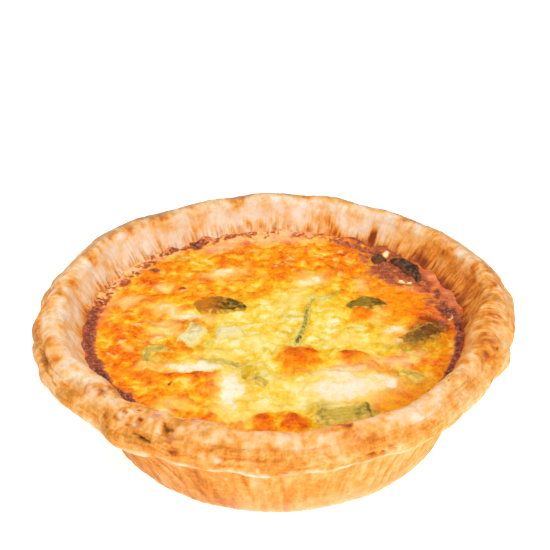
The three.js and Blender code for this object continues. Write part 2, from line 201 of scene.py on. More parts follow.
def marbled(x, y, z, size, seed):
    """Noise of the given size, its places bent by slower noise: soft wisps, about -1 to 1."""
    slow = 1.7 * size
    bend = 0.9 * size * noise(x / slow, y / slow, z / slow, seed)
    sway = 0.9 * size * noise(x / slow, y / slow, z / slow, seed + 1)
    return fractal(x + bend, y + sway, z + bend, size, 3, seed + 2, 0.55)


def cells_apart(x, y, size, seed):
    """0 on the border between cells of a jittered grid of points, rising towards the points."""
    cx, cy = np.floor(x / size).astype(np.int64), np.floor(y / size).astype(np.int64)
    nearest = np.full(x.shape, 9.0)
    second = np.full(x.shape, 9.0)
    for dx in (-1, 0, 1):
        for dy in (-1, 0, 1):
            mixed = lattice_hash(cx + dx, cy + dy, cx * 0, seed)
            px = cx + dx + (mixed & 1023) / 1023
            py = cy + dy + ((mixed >> 10) & 1023) / 1023
            away = np.hypot(x / size - px, y / size - py)
            second = np.minimum(second, np.maximum(nearest, away))
            nearest = np.minimum(nearest, away)
    return second - nearest


def patch(x, y, row, hardness=1.5):
    """A spot of x, y, length, width, turn: exp(-(0.8 (u squared + v squared)) ** hardness)."""
    x0, y0, length, width, turn = row[:5]
    c, s = math.cos(math.radians(turn)), math.sin(math.radians(turn))
    u = ((x - x0) * c + (y - y0) * s) / (0.5 * length)
    v = ((y - y0) * c - (x - x0) * s) / (0.5 * width)
    return np.exp(-(0.8 * (u * u + v * v)) ** hardness)


NO_TRIANGLES = np.zeros((0, 3), dtype=int)


def mesh_object(name, points, quads, triangles, masks):
    """A smooth mesh object from points in millimetres, rows of four and three corners, and masks."""
    mesh = bpy.data.meshes.new(name)
    mesh.vertices.add(len(points))
    mesh.vertices.foreach_set("co", (points * MM).astype(np.float32).ravel())
    corners = np.concatenate([quads.ravel(), triangles.ravel()]).astype(np.int32)
    sizes = np.concatenate([np.full(len(quads), 4), np.full(len(triangles), 3)])
    starts = np.concatenate([[0], np.cumsum(sizes)[:-1]]).astype(np.int32)
    mesh.loops.add(len(corners))
    mesh.loops.foreach_set("vertex_index", corners)
    mesh.polygons.add(len(sizes))
    mesh.polygons.foreach_set("loop_start", starts)
    mesh.update(calc_edges=True)
    mesh.validate()
    mesh.shade_smooth()
    for mask, values in masks.items():
        values = np.asarray(values, dtype=np.float32)
        kind, field = ("FLOAT_VECTOR", "vector") if values.ndim == 2 else ("FLOAT", "value")
        mesh.attributes.new(mask, kind, "POINT").data.foreach_set(field, values.ravel())
    piece = bpy.data.objects.new(name, mesh)
    bpy.context.scene.collection.objects.link(piece)
    return piece


# ------------------------------------------------------------------ shape of the pastry

# Outward bulges and dents of the whole rim: middle angle, half width, size.
RIM_BULGES = [
    (9, 18, 0.6), (26, 13, -0.2), (56, 17, -1.5), (93, 16, 0.3), (120, 13, -0.6), (137, 17, 1.3),
    (157, 14, -1.5), (175, 14, -0.7), (192, 14, -0.3), (221, 13, -1.2), (323, 22, -2.1), (334.5, 7, -1.2),
    (344.5, 5, -1.2),
]

# The crest's dips and the lip's rises: middle angle, half width, height.
CREST_DIPS = [(40, 38, -0.8), (110, 60, -0.4), (240, 18, 0.3)]
LIP_RISES = [(232, 12, -0.9), (246, 8, 0.8), (258, 7, 0.7), (268, 8, -0.4), (292, 26, 0.8), (314, 12, 0.4)]

# A flake of the rim, from angle to angle and how far it stands out; and the rim's fold, its angle
# and how far the inner edge goes in before it and out behind it.
FLAKE_START, FLAKE_END, FLAKE_SIZE = 347, 336, 0.9
FOLD_ANGLE, FOLD_INWARDS, FOLD_OUTWARDS = 3, 1.9, 0.9

# How far the crest's inner edge lies out, or in where less than 0: angle, shift.
INNER_STOPS = [
    (200, 0), (209, -1.1), (217, -1.7), (223, -0.7), (228, 0.5), (233, -1.2), (237, -1.0), (241, -0.6),
    (246, -2.0), (250, -2.5), (255, -1.5), (262, -0.1), (270, 0.3), (278, -0.3), (290, 0),
]

# Slits and pits in the rolled band: angle, height, half length in degrees, half height, depth.
SLITS = [
    (240.2, 30.7, 3.3, 0.7, 1.2),
    (245.3, 32.9, 2.6, 1.0, 1.2),
    (287.1, 29.3, 1.9, 0.7, 0.6),
    (290.4, 29.0, 1.9, 0.8, 1.0),
    (293.1, 28.8, 1.2, 0.7, 0.9),
    (295.0, 29.6, 1.3, 0.7, 0.9),
]

# How many torn crumbs lie on the left front of the crest.
CRUMB_COUNT = 9

# The profile in sections: name, rows, control points of a curve of radius and height, and how much
# of each unevenness its start and its end take.
SECTIONS = [
    ("heel", 6, [(FOOT_RADIUS, 0), (FOOT_RADIUS + 4.3, 0), (HEEL_RADIUS, HEEL_HEIGHT)],
     dict(shift=(1, 1))),
    ("side", 23, [(HEEL_RADIUS, HEEL_HEIGHT), (HEEL_RADIUS + 3.4, 13), (WALL_TOP_RADIUS, WALL_TOP_HEIGHT)],
     dict(shift=(1, 1), rim=(0, 0.45), lip=(0, 0.6))),
    ("underlip", 9, [(WALL_TOP_RADIUS, WALL_TOP_HEIGHT), (WALL_TOP_RADIUS + 0.7, 24.1),
                     (LIP_RADIUS, LIP_HEIGHT)],
     dict(shift=(1, 0), rim=(0.45, 1), lip=(0.6, 1))),
    ("roll", 29, [(LIP_RADIUS, LIP_HEIGHT), (LIP_RADIUS + ROLL_BELLY, 26.6),
                  (GROOVE_RADIUS + ROLL_BELLY, 30.8), (GROOVE_RADIUS, GROOVE_HEIGHT)],
     dict(rim=(1, 1), lip=(1, 0), crest=(0, 1))),
    ("crest", 25, [(GROOVE_RADIUS, GROOVE_HEIGHT), (GROOVE_RADIUS - 1.2, CREST_HEIGHT + 0.6),
                   (INNER_EDGE_RADIUS + 1.7, CREST_HEIGHT + 1.2), (INNER_EDGE_RADIUS, INNER_EDGE_HEIGHT)],
     dict(rim=(1, 0.7), crest=(1, 1), inner=(0, 1))),
    ("slope", 19, [(INNER_EDGE_RADIUS, INNER_EDGE_HEIGHT), (INNER_EDGE_RADIUS - 2.2, 28.3),
                   (FILLING_RADIUS + CASE_GAP, FILLING_EDGE_HEIGHT)],
     dict(rim=(0.7, 0), crest=(1, 0), inner=(1, 0))),
]


def sum_of_swells(swells, angle):
    """The sum of swellings (middle angle, half width, size) round the rim."""
    return sum(size * swell(turn_between(angle, middle), half) for middle, half, size in swells)


def rim_bulge(angle):
    """How far the rim stands out: bulges and dents, a flake that ends in a step, and a wander."""
    past = turn_between(FLAKE_START, angle)
    span = FLAKE_START - FLAKE_END
    flake = FLAKE_SIZE * smooth(0, 0.7 * span, past) * (1 - smooth(span, span + 1.2, past))
    return sum_of_swells(RIM_BULGES, angle) + flake + ring_wander(angle, 11, 3, 9, 0.35)


def fold_shift(angle):
    """How far out the crest's inner edge lies: in before the fold, out behind it, and by its stops."""
    ahead = turn_between(FOLD_ANGLE, angle)
    inwards = smooth(0, 9, ahead) * (1 - smooth(13, 36, ahead))
    outwards = smooth(0, 6, -ahead) * (1 - smooth(45, 70, -ahead))
    return FOLD_OUTWARDS * outwards - FOLD_INWARDS * inwards + around(angle, *INNER_STOPS)


def groove_depth(angle):
    """Depth of the crease between band and crest: deepest at the left, shut at the back."""
    front = 0.3 * swell(turn_between(angle, 265), 75)
    left = 0.9 * swell(turn_between(angle, 201), 15)
    right = 0.45 * swell(turn_between(angle, 320), 24)
    wander = 0.4 * ring_wander(angle, 71, 4, 15, 0.3)
    return np.maximum(0, front + left + right + wander * front)


def slit_depth(angle, height):
    """Depth of the slits where layers of the rolled band have come apart."""
    return sum(depth * swell(turn_between(angle, middle), half_turn) * swell(height - level, half_height)
               for middle, level, half_turn, half_height, depth in SLITS)


def crumb_height(angle, radius):
    """Torn crumbs on the left front of the crest."""
    random = seeded_random(5)
    total = np.zeros_like(radius)
    for _ in range(CRUMB_COUNT):
        middle, level, size = 228 + 22 * random(), 51.8 + 5.4 * random(), 0.35 + 0.4 * random()
        total += size * swell(turn_between(angle, middle), 2.6) * swell(radius - level, 2.2)
    return total


def rib_relief(angle, height):
    """Wrinkles of the side: rounded ridges and sharp valleys, |cos| ** 0.6 of a wandering angle."""
    random = seeded_random(3)
    sizes = np.array([0.35 + 0.65 * random() for _ in range(RIB_COUNT)])
    round_x, round_y = on_circle(angle, SIDE_MIDDLE)
    wander = 0.42 * noise(round_x / 5.5, round_y / 5.5, height / 9, 301)
    wander += 0.16 * noise(round_x / 2.4, round_y / 2.4, height / 3, 302)
    phase = angle * RIB_COUNT / 360 + wander
    size = np.interp(phase % RIB_COUNT, np.arange(RIB_COUNT), sizes, period=RIB_COUNT)
    size = size * (0.75 + 0.7 * noise(round_x / 4, round_y / 4, height / 5, 303))
    return size * (np.abs(np.cos(math.pi * phase)) ** 0.6 - 0.62)


def bezier(points, t):
    """A Bezier curve of three or four control points, at each t."""
    weights = {3: [(1 - t) ** 2, 2 * t * (1 - t), t ** 2],
               4: [(1 - t) ** 3, 3 * t * (1 - t) ** 2, 3 * t ** 2 * (1 - t), t ** 3]}[len(points)]
    return sum(np.outer(weight, point) for weight, point in zip(weights, points)).T


def section_surface(index, section, angle):
    """Radius, height and place of one section of the profile round the rim, before its fine relief."""
    name, rows, points, shares = section
    along = np.arange(0 if index == 0 else 1, rows + 1)[:, None] / rows
    radius, height = [np.repeat(a[:, None], angle.size, axis=1) for a in bezier(points, along[:, 0])]

    def share(kind):
        start, end = shares.get(kind, (0, 0))
        return start + (end - start) * along

    radius = radius + share("shift") * SIDE_SHIFT * np.cos(np.radians(angle))
    radius = radius + share("rim") * rim_bulge(angle)
    radius = radius + share("inner") * fold_shift(angle)
    lip = sum_of_swells(LIP_RISES, angle) + ring_wander(angle, 51, 12, 44, 0.3)
    crest = sum_of_swells(CREST_DIPS, angle) + ring_wander(angle, 23, 7, 26, 0.28)
    height = height + share("lip") * lip + share("crest") * crest
    groove = groove_depth(angle)
    if name == "heel":
        radius = radius + RIB_DEPTH * 0.8 * along * rib_relief(angle, height)
    if name == "side":
        radius = radius + RIB_DEPTH * (0.8 + 0.4 * np.sin(math.pi * along)) * rib_relief(angle, height)
    if name == "underlip":
        radius = radius + RIB_DEPTH * 0.8 * (1 - along) * rib_relief(angle, height)
    if name == "roll":
        radius = radius + np.sin(math.pi * along) * ring_wander(angle, 37, 9, 40, 0.3)
        radius = radius - slit_depth(angle, height) - 0.6 * smooth(0.6, 1, along) * groove
        height = height - smooth(0.6, 1, along) * groove
    if name == "crest":
        height = height - (1 - smooth(0, 0.3, along)) * groove - slit_depth(angle, height)
        height = height + np.sin(math.pi * along) * crumb_height(angle, radius)
    if name == "slope":
        radius = radius + np.sin(math.pi * along) * ring_wander(angle, 67, 20, 60, 0.22)
    return radius, height, np.repeat(index + along, angle.size, axis=1)


# Creases and dark marks drawn on the rim as short strokes, browned marks and painted shade in the
# cracks, the groove, the slits and the fold: start angle and place, end angle and place, half width in
# mm, darkness. A place counts sections along the profile, 4 to 5 is the crest.
STROKES = [
    (196, 4.05, 204, 3.88, 0.34, 0.62),
    (204, 3.86, 211, 3.76, 0.28, 0.6),
    (308.5, 4.18, 316, 4.14, 0.26, 0.34),
    (316, 4.14, 323, 4.12, 0.3, 0.48),
    (318, 4.58, 318.4, 4.6, 0.3, 0.8),
    (327, 4.62, 334, 4.86, 0.24, 0.25),
    (237.6, 3.79, 242.2, 3.71, 0.26, 1.0),
    (244.2, 4.27, 244.9, 4.20, 0.45, 0.95),
    (245, 4.2, 246.6, 4.05, 0.8, 0.42),
    (234.8, 3.97, 235.6, 3.96, 0.26, 0.8),
    (231.5, 4.36, 233.5, 4.45, 0.16, 0.7),
    (233.5, 4.45, 236.2, 4.36, 0.14, 0.8),
    (236.2, 4.36, 236.9, 4.22, 0.14, 0.6),
    (238, 4.5, 240, 4.42, 0.2, 0.4),
    (240.3, 4.36, 242, 4.5, 0.2, 0.4),
    (286.2, 3.53, 288.3, 3.51, 0.20, 0.36),
    (289.3, 3.51, 291.4, 3.46, 0.36, 0.72),
    (292.7, 3.45, 293.5, 3.44, 0.30, 0.7),
    (294.3, 3.59, 295.4, 3.57, 0.28, 0.72),
    (254, 3.99, 259, 3.95, 0.16, 0.35),
    (260, 3.96, 263, 3.99, 0.14, 0.45),
    (264, 3.97, 268, 3.95, 0.14, 0.3),
    (270, 3.97, 280, 3.99, 0.12, 0.2),
    (4, 5.02, 356, 5.3, 0.55, 0.45),
    (356, 5.3, 347, 5.62, 0.60, 0.4),
    (230.6, 3.72, 230.3, 3.72, 0.24, 0.9),
    (195.9, 3.90, 195.5, 3.90, 0.26, 0.9),
    (338.2, 4.06, 338.6, 4.08, 0.3, 0.95),
]


# How brown each section of the pastry is round the rim, as stops of angle and value.
BROWN_SIDE = [
    (0, 0.6), (60, 0.64), (180, 0.79), (225, 0.79), (245, 0.77), (262, 0.72), (300, 0.67), (335, 0.63),
]
BROWN_ROLL = [
    (0, 0.52), (60, 0.46), (120, 0.46), (160, 0.48), (190, 0.56), (215, 0.54), (228, 0.63), (243, 0.69),
    (256, 0.65), (270, 0.68), (285, 0.62), (310, 0.58), (340, 0.54),
]
BROWN_CREST = [
    (0, 0.66), (12, 0.62), (30, 0.47), (45, 0.35), (60, 0.32), (90, 0.34), (120, 0.36), (160, 0.41),
    (185, 0.43), (205, 0.4), (220, 0.46), (232, 0.61), (246, 0.6), (256, 0.55), (275, 0.56), (290, 0.58),
    (305, 0.5), (318, 0.52), (335, 0.6), (350, 0.64),
]
BROWN_SLOPE = [
    (0, 0.7), (10, 0.8), (28, 0.74), (42, 0.62), (55, 0.44), (70, 0.3), (90, 0.26), (120, 0.25),
    (140, 0.32), (160, 0.37), (200, 0.36), (220, 0.4), (240, 0.5), (300, 0.5), (330, 0.58), (345, 0.64),
]

# More browning by the filling and in blotches at the back, and darker past the crest's outer edge at the
# back.
BROWN_NEAR_FILLING = [
    (0, 0.2), (40, 0.3), (60, 0.34), (90, 0.22), (112, 0.1), (126, 0.12), (145, 0.24), (168, 0.38),
    (195, 0.3), (222, 0.16), (260, 0.0), (320, 0.2),
]
BROWN_OUTSIDE = [(30, 0), (60, 1), (150, 1), (185, 0.6), (205, 0)]
BACK_BLOTCHES = [(30, 0), (60, 0.14), (150, 0.14), (180, 0)]

# How lively the crest's specks and wisps are, and how strong its mottle is.
CREST_LIVELY = [
    (165, 1), (185, 0.75), (218, 0.75), (235, 1), (262, 0.8), (285, 0.65), (320, 0.65), (345, 1),
]
CREST_MOTTLE = [
    (0, 0.12), (50, 0.14), (80, 0.24), (165, 0.2), (185, 0.06), (228, 0.08), (240, 0.14), (260, 0.0),
    (335, 0.05),
]

# How far fine hairs are drawn up the slope and the crest, and how high they stand there.
DRAWN_SLOPE = [(0, 0.5), (40, 0.6), (80, 0.8), (110, 0.9), (150, 1), (175, 0.6), (192, 0.2), (320, 0.2)]
DRAWN_CREST = [(0, 0.45), (35, 0.5), (70, 0.25), (180, 0), (330, 0.1), (348, 0.5)]
RIDGED_SLOPE = [(0, 1.0), (25, 1.8), (60, 1.3), (90, 0.7), (150, 0.6), (175, 0.25), (200, 0.15), (260, 0.5)]
RIDGED_CREST = [(0, 1.2), (40, 2.2), (90, 1), (200, 0.5)]

# The place of the crest's outer edge, and how strongly painted shade darkens that edge where it turns away.
OUTER_EDGE = [
    (0, 4.05), (10, 4.2), (17, 4.4), (40, 4.42), (60, 4.36), (90, 4.42), (131, 4.54), (147, 4.5),
    (156, 4.3), (165, 4.15), (172, 3.9), (180, 3.7), (192, 3.75),
]
EDGE_SHADE = [(0, 0.2), (25, 0.8), (60, 1), (120, 1), (165, 0.8), (190, 0.4), (215, 0), (350, 0)]

# How pale and floury the slope and the crest are, how strong the painted highlight along the lip is,
# and how strong the painted light from the bright floor at the foot is.
PALE_SLOPE = [
    (0, 0.05), (40, 0.1), (55, 0.5), (80, 0.8), (180, 0.75), (215, 0.6), (250, 0.3), (330, 0.2), (345, 0.5),
]
PALE_CREST = [
    (0, 0.2), (60, 0.3), (100, 0.5), (160, 0.6), (200, 0.65), (225, 0.5), (232, 0.35), (258, 0.35),
    (275, 0.25), (315, 0.12), (348, 0.08),
]
LIP_HIGHLIGHT = [(180, 0.4), (225, 0.7), (240, 0.9), (300, 0.9), (330, 0.3), (350, 0.2)]
FOOT_LIGHT = [(180, 0.3), (235, 0.4), (270, 0.5), (310, 0.55), (350, 0.4)]

# How olive the side, the rolled band and the crest are.
OLIVE_SIDE = [(180, 0.45), (250, 0.3), (265, 0)]
OLIVE_ROLL = [
    (0, 0.3), (60, 0.5), (100, 0.6), (150, 0.5), (185, 0.75), (205, 0.7), (225, 0.65), (245, 0.4),
    (275, 0.12), (340, 0.25),
]
OLIVE_CREST = [
    (0, 0.4), (15, 0.35), (60, 0.15), (150, 0.15), (190, 0.2), (210, 0.35), (228, 0.6), (248, 0.5),
    (262, 0.15), (300, 0.12), (325, 0.3), (340, 0.25),
]

# The place where the slope is scorched from, and the strength of a shaggy fringe above it.
SCORCH_EDGE = [
    (0, 5.8), (14, 5.75), (24, 5.82), (38, 5.72), (52, 5.66), (64, 5.75), (76, 6.2), (118, 6.2),
    (126, 5.85), (146, 5.8), (160, 6.1), (235, 6.2), (300, 6.2), (325, 5.95),
]
SCORCH_FRINGE = [(66, 0), (84, 0.6), (104, 0.35), (126, 0.35), (140, 0.7), (165, 0.9), (176, 0)]

# How the side's streaks lean about their middle height, in mm for each mm, and how strong they are.
STREAK_MIDDLE_HEIGHT = 14
STREAK_LEAN = [(180, -0.5), (225, -0.55), (250, -0.45), (268, -0.1), (290, 0.15), (330, 0.35), (360, 0.3)]
STREAK_STRENGTH = [(180, 1.1), (235, 1.1), (252, 0.8), (290, 0.6), (310, 0.45), (340, 0.5)]

# Browned spots and streaks: angle, place, half width in degrees, half length in places, size.
BROWN_SPOTS = [
    (56.2, 5.55, 2.4, 0.45, 0.85), (72.4, 5.3, 1.6, 0.35, 0.35), (97.6, 5.5, 2.2, 0.3, 0.4),
    (93.5, 5.6, 1.6, 0.25, 0.3), (69, 5.75, 3, 0.3, 0.25), (37, 5.7, 4, 0.4, 0.2),
    (167.5, 4.75, 2.2, 0.2, 0.35), (186, 4.3, 4, 0.28, 0.35), (197, 4.2, 5, 0.28, 0.2),
    (206, 4.2, 5, 0.28, 0.25), (200.5, 3.97, 6, 0.2, 0.36), (214, 4.0, 4, 0.3, 0.2),
    (221, 4.3, 4, 0.35, 0.2), (178, 4.05, 3, 0.25, 0.3), (219, 4.15, 3, 0.3, 0.25),
    (224, 4.4, 2, 0.25, 0.25), (246.2, 4.02, 1.8, 0.2, 0.3), (287, 4.55, 2.2, 0.2, 0.5),
    (244.2, 4.2, 1.4, 0.16, 0.35), (248, 3.69, 1.9, 0.13, 0.26), (233.6, 4.22, 0.9, 0.08, 0.5),
    (236.6, 4.46, 0.8, 0.07, 0.5), (238.4, 4.2, 0.8, 0.07, 0.45), (231.4, 4.02, 1.6, 0.1, 0.4),
    (241.2, 4.5, 0.9, 0.07, 0.4), (228.6, 3.9, 1.0, 0.08, 0.4),
]

# Pale curls and floury spots: angle, place, half width in degrees, half length in places, size.
PALE_SPOTS = [
    (257.6, 3.66, 1.4, 0.13, 0.9), (235.2, 4.36, 1.6, 0.12, 0.9), (232.6, 4.14, 1.5, 0.12, 0.7),
    (240.2, 4.3, 1.8, 0.1, 0.7), (226.5, 4.36, 2.4, 0.2, 0.6), (243.6, 4.46, 1.3, 0.12, 0.6),
    (237.4, 4.02, 1.6, 0.08, 0.6), (205, 4.65, 6, 0.25, 0.5), (196, 4.62, 5, 0.2, 0.5),
    (283, 4.3, 3, 0.1, 0.4),
]


def side_streaks(angle, height):
    """Soft golden streaks down the side, leaning at the left front: noise drawn out up and down."""
    turn = np.radians(angle)
    x, y = on_circle(angle, SIDE_MIDDLE)
    shift = around(angle, *STREAK_LEAN) * (height - STREAK_MIDDLE_HEIGHT)
    leaning_x, leaning_y = x + shift * np.sin(turn), y - shift * np.cos(turn)
    broad = noise(leaning_x / 3.2, leaning_y / 3.2, height / 18, 421)
    narrow = noise(leaning_x / 1.9, leaning_y / 1.9, height / 12, 422)
    patchy = 0.7 + 0.7 * noise(x / 6, y / 6, height / 7, 423)
    return around(angle, *STREAK_STRENGTH) * patchy * (0.6 * broad + smooth(0.0, 0.7, narrow) - 0.25)


MM_TO_A_PLACE = 8.5         # how long a section of the profile is, about


def stroke_mask(angle, place, row, wobble):
    """A soft line from one place on the rim to another, of the row's half width in mm."""
    angle_a, place_a, angle_b, place_b, half, dark = row
    per_degree = math.radians(1) * RIM_MIDDLE
    ax = turn_between(angle, angle_a) * per_degree + wobble
    ay = (place - place_a) * MM_TO_A_PLACE + wobble
    bx, by = turn_between(angle_b, angle_a) * per_degree, (place_b - place_a) * MM_TO_A_PLACE
    length = max(1e-6, bx * bx + by * by)
    t = np.clip((ax * bx + ay * by) / length, 0, 1)
    away = np.hypot(ax - t * bx, ay - t * by)
    return dark * smooth(1.6, 0.3, away / half)


def pastry_fields(angle, place, height, arc):
    """What all marks of the pastry are painted from, at each point.

    rx and ry are where it lies round the rim. blotch, speck, hair and layer are noises, the last
    two drawn out up the profile and round the rim. side, roll, crest and slope are the shares of
    each section. past_edge counts places from the crest's outer edge.
    """
    rx, ry = on_circle(angle, RIM_MIDDLE)
    speck = fractal(rx, ry, arc, 1.7, 2, 402)
    hair = fractal(rx / 0.9, ry / 0.9, arc / 7.5, 1, 2, 403)
    return SimpleNamespace(
        angle=angle, place=place, height=height, arc=arc, rx=rx, ry=ry, speck=speck, hair=hair,
        blotch=fractal(rx, ry, arc, 7, 3, 401),
        layer=fractal(rx / 7, ry / 7, arc / 0.8, 1, 2, 404),
        side=smooth(0.3, 0.9, place) * (1 - smooth(2.0, 2.6, place)),
        roll=smooth(2.9, 3.1, place) * (1 - smooth(3.85, 4.1, place)),
        crest=smooth(3.85, 4.1, place) * (1 - smooth(4.75, 5.1, place)),
        slope=smooth(4.75, 5.1, place),
        near_filling=smooth(5.35, 6.0, place + 0.15 * hair),
        past_edge=place - around(angle, *OUTER_EDGE) + 0.06 * speck,
        streaks=side_streaks(angle, height))


def rim_spots(f, rows, shift):
    """Each spot of the rows in turn, its outline shifted round the rim by some degrees."""
    for middle, level, half_turn, half_place, size in rows:
        across = swell(turn_between(f.angle, middle) + shift, half_turn)
        yield size * (across * swell(f.place - level, half_place))


def brown_and_drawn(f):
    """How brown the pastry is, and how drawn out its grain.

    Drawn out is 1 where fine hairs run up the profile and -1 where layers run round the rim.
    """
    brown = 0.38 * (1 - f.side - f.roll - f.crest - f.slope)
    sections = [(f.side, BROWN_SIDE), (f.roll, BROWN_ROLL), (f.crest, BROWN_CREST), (f.slope, BROWN_SLOPE)]
    for share, stops in sections:
        brown = brown + share * around(f.angle, *stops)
    lively = f.crest * around(f.angle, *CREST_LIVELY)
    mottle = fractal(f.rx, f.ry, f.arc, 3.0, 3, 432)
    brown = brown + f.blotch * (0.17 - 0.13 * f.side + 0.06 * f.crest)
    brown = brown + f.speck * (0.1 * f.roll + 0.15 * lively + 0.07 * f.slope)
    brown = brown + marbled(f.rx, f.ry, f.arc, 3.6, 431) * (0.1 * f.roll + 0.2 * lively + 0.08 * f.slope)
    brown = brown + f.crest * mottle * around(f.angle, *CREST_MOTTLE)
    brown = brown + f.blotch * (f.crest + 0.6 * f.slope) * around(f.angle, *BACK_BLOTCHES)

    drawn = f.slope * around(f.angle, *DRAWN_SLOPE) * smooth(4.9, 5.6, f.place)
    drawn = drawn + f.crest * around(f.angle, *DRAWN_CREST)
    brown = brown + 0.17 * drawn * f.hair + 0.1 * f.roll * f.layer
    drawn = drawn + 0.16 * f.side - 0.9 * f.roll

    # Darker in the rib valleys and paler on their ridges, by the ribs' relief: painted shade and light.
    brown = brown + f.side * (0.26 * f.streaks - 0.1 * rib_relief(f.angle, f.height) - 0.075)
    brown = brown + f.near_filling * around(f.angle, *BROWN_NEAR_FILLING)
    outside = (f.roll + f.crest) * smooth(0.4, 0.1, f.past_edge)
    brown = brown + 0.16 * outside * around(f.angle, *BROWN_OUTSIDE)
    for spot in rim_spots(f, BROWN_SPOTS, f.hair):
        brown = brown + spot
    return brown - 0.22 * f.roll * smooth(0.35, 0.8, f.speck + 0.4 * f.layer), drawn


def pale_and_highlight_mask(f):
    """How pale the pastry is: floury patches, gaps between streaks, spots, a painted highlight along the
    lip and painted light from the bright floor at the foot.
    """
    patches = smooth(0.1, 0.8, fractal(f.rx, f.ry, f.arc, 4.2, 3, 405) + 0.4 * f.hair * f.slope)
    where = f.slope * around(f.angle, *PALE_SLOPE) * (1 - f.near_filling)
    where = where + f.crest * around(f.angle, *PALE_CREST)
    pale = patches * where + 0.2 * f.side * smooth(0.1, 0.5, -f.streaks)
    # The lip's pale line is a painted highlight.
    lip = 0.8 * swell(f.place - 3.17 + 0.05 * f.speck, 0.24)
    lip = lip * smooth(-0.6, 0.3, noise(f.rx / 3, f.ry / 3, 0, 406)) * around(f.angle, *LIP_HIGHLIGHT)
    # The foot's paleness is painted light from the bright floor below.
    foot = (1 - smooth(0.45, 1.4, f.place + 0.1 * f.blotch)) * around(f.angle, *FOOT_LIGHT)
    pale = np.maximum(pale, np.maximum(lip, foot))
    for spot in rim_spots(f, PALE_SPOTS, 0.6 * f.speck):
        pale = np.maximum(pale, spot)
    return np.clip(pale, 0, 1)


def marks_and_crease_shade_mask(f):
    """How dark the drawn strokes and the open slits are: browned marks, and painted shade in the cracks and
    slits.
    """
    wobble = 0.3 * noise(f.rx / 1.6, f.ry / 1.6, f.arc / 1.6, 407)
    crease = np.zeros_like(f.angle)
    for row in STROKES:
        crease = np.maximum(crease, stroke_mask(f.angle, f.place, row, wobble))
    slits = slit_depth(f.angle, f.height) * smooth(2.9, 3.1, f.place)
    return np.maximum(crease, 0.85 * smooth(0.35, 1.0, slits))


def olive_mask(f):
    """How olive the pastry is: patches of the rolled band and the crest, and the side's streaks."""
    on_roll = smooth(-0.05, 0.5, fractal(f.rx, f.ry, f.arc, 4.2, 3, 408))
    on_crest = smooth(0.0, 0.45, fractal(f.rx, f.ry, f.arc, 3.0, 3, 409))
    olive = on_roll * f.roll * around(f.angle, *OLIVE_ROLL)
    olive = olive + f.side * (0.6 * smooth(0.35, 0.95, f.streaks) + around(f.angle, *OLIVE_SIDE))
    return np.clip(olive + f.crest * on_crest * around(f.angle, *OLIVE_CREST), 0, 1)


def edge_shade_mask(f):
    """How much painted shade darkens the crest's outer edge, where it turns away."""
    edge = (f.roll + f.crest) * swell(f.past_edge + 0.1, 0.4)
    return np.clip(edge * (0.8 + 0.5 * f.blotch) * around(f.angle, *EDGE_SHADE), 0, 1)


def scorch_mask(f):
    """How scorched the foot of the slope is, with a shaggy fringe at the back."""
    scorch = smooth(0, 0.3, f.place - around(f.angle, *SCORCH_EDGE) + 0.1 * f.speck + 0.12 * f.hair)
    fringe = around(f.angle, *SCORCH_FRINGE) * smooth(5.35, 5.95, f.place + 0.2 * f.hair)
    fringe = fringe * smooth(-0.1, 0.5, fractal(f.rx, f.ry, f.arc, 1.1, 2, 411) + 0.4 * f.hair)
    return np.maximum(scorch, fringe) * smooth(4.9, 5.3, f.place)


def pastry_masks(f):
    """How brown, pale, creased, olive, shaded at the outer edge and scorched the pastry is, and how drawn
    out. The pale mask holds a painted highlight and painted light, the creased and edge masks painted
    shade.
    """
    brown, drawn = brown_and_drawn(f)
    return dict(brown=brown, pale=pale_and_highlight_mask(f), crease=marks_and_crease_shade_mask(f), olive=olive_mask(f),
                edge_shade=edge_shade_mask(f), scorch=scorch_mask(f), drawn=drawn)


def pastry_relief(f, masks):
    """Fine relief along the surface's normal: flaky layers, hair-fine ridges, grain and creases."""
    roll = smooth(2.95, 3.2, f.place) * (1 - smooth(3.8, 4.05, f.place))
    top = smooth(3.9, 4.2, f.place)
    slope = smooth(4.6, 5.2, f.place)
    side = smooth(0.2, 0.9, f.place) * (1 - smooth(1.9, 2.3, f.place))
    lip = swell(f.place - 3.0, 0.12)
    lumps = 0.17 * fractal(f.rx, f.ry, f.arc, 4.2, 2, 451) + 0.09 * fractal(f.rx, f.ry, f.arc, 1.9, 2, 452)
    layers = 0.12 * fractal(f.rx / 8, f.ry / 8, f.arc / 0.9, 1, 2, 453)
    hairs = 0.085 * fractal(f.rx / 1.15, f.ry / 1.15, f.arc / 6, 1, 2, 454)
    swells = 0.35 * noise(f.rx / 11, f.ry / 11, f.arc / 14, 455)
    torn = 0.3 * noise(f.rx / 1.8, f.ry / 1.8, 0, 456) + 0.2 * noise(f.rx / 5, f.ry / 5, 0, 457)
    relief = lumps * (0.35 + 0.65 * np.maximum(roll, top)) * smooth(0.05, 0.5, f.place)
    relief = relief + roll * layers + slope * hairs * around(f.angle, *RIDGED_SLOPE)
    relief = relief + 0.5 * top * (1 - slope) * hairs * around(f.angle, *RIDGED_CREST)
    relief = relief + side * swells + lip * torn - 0.45 * masks["crease"]
    return relief + 0.12 * masks["scorch"] * fractal(f.rx, f.ry, f.arc, 1.1, 2, 458)


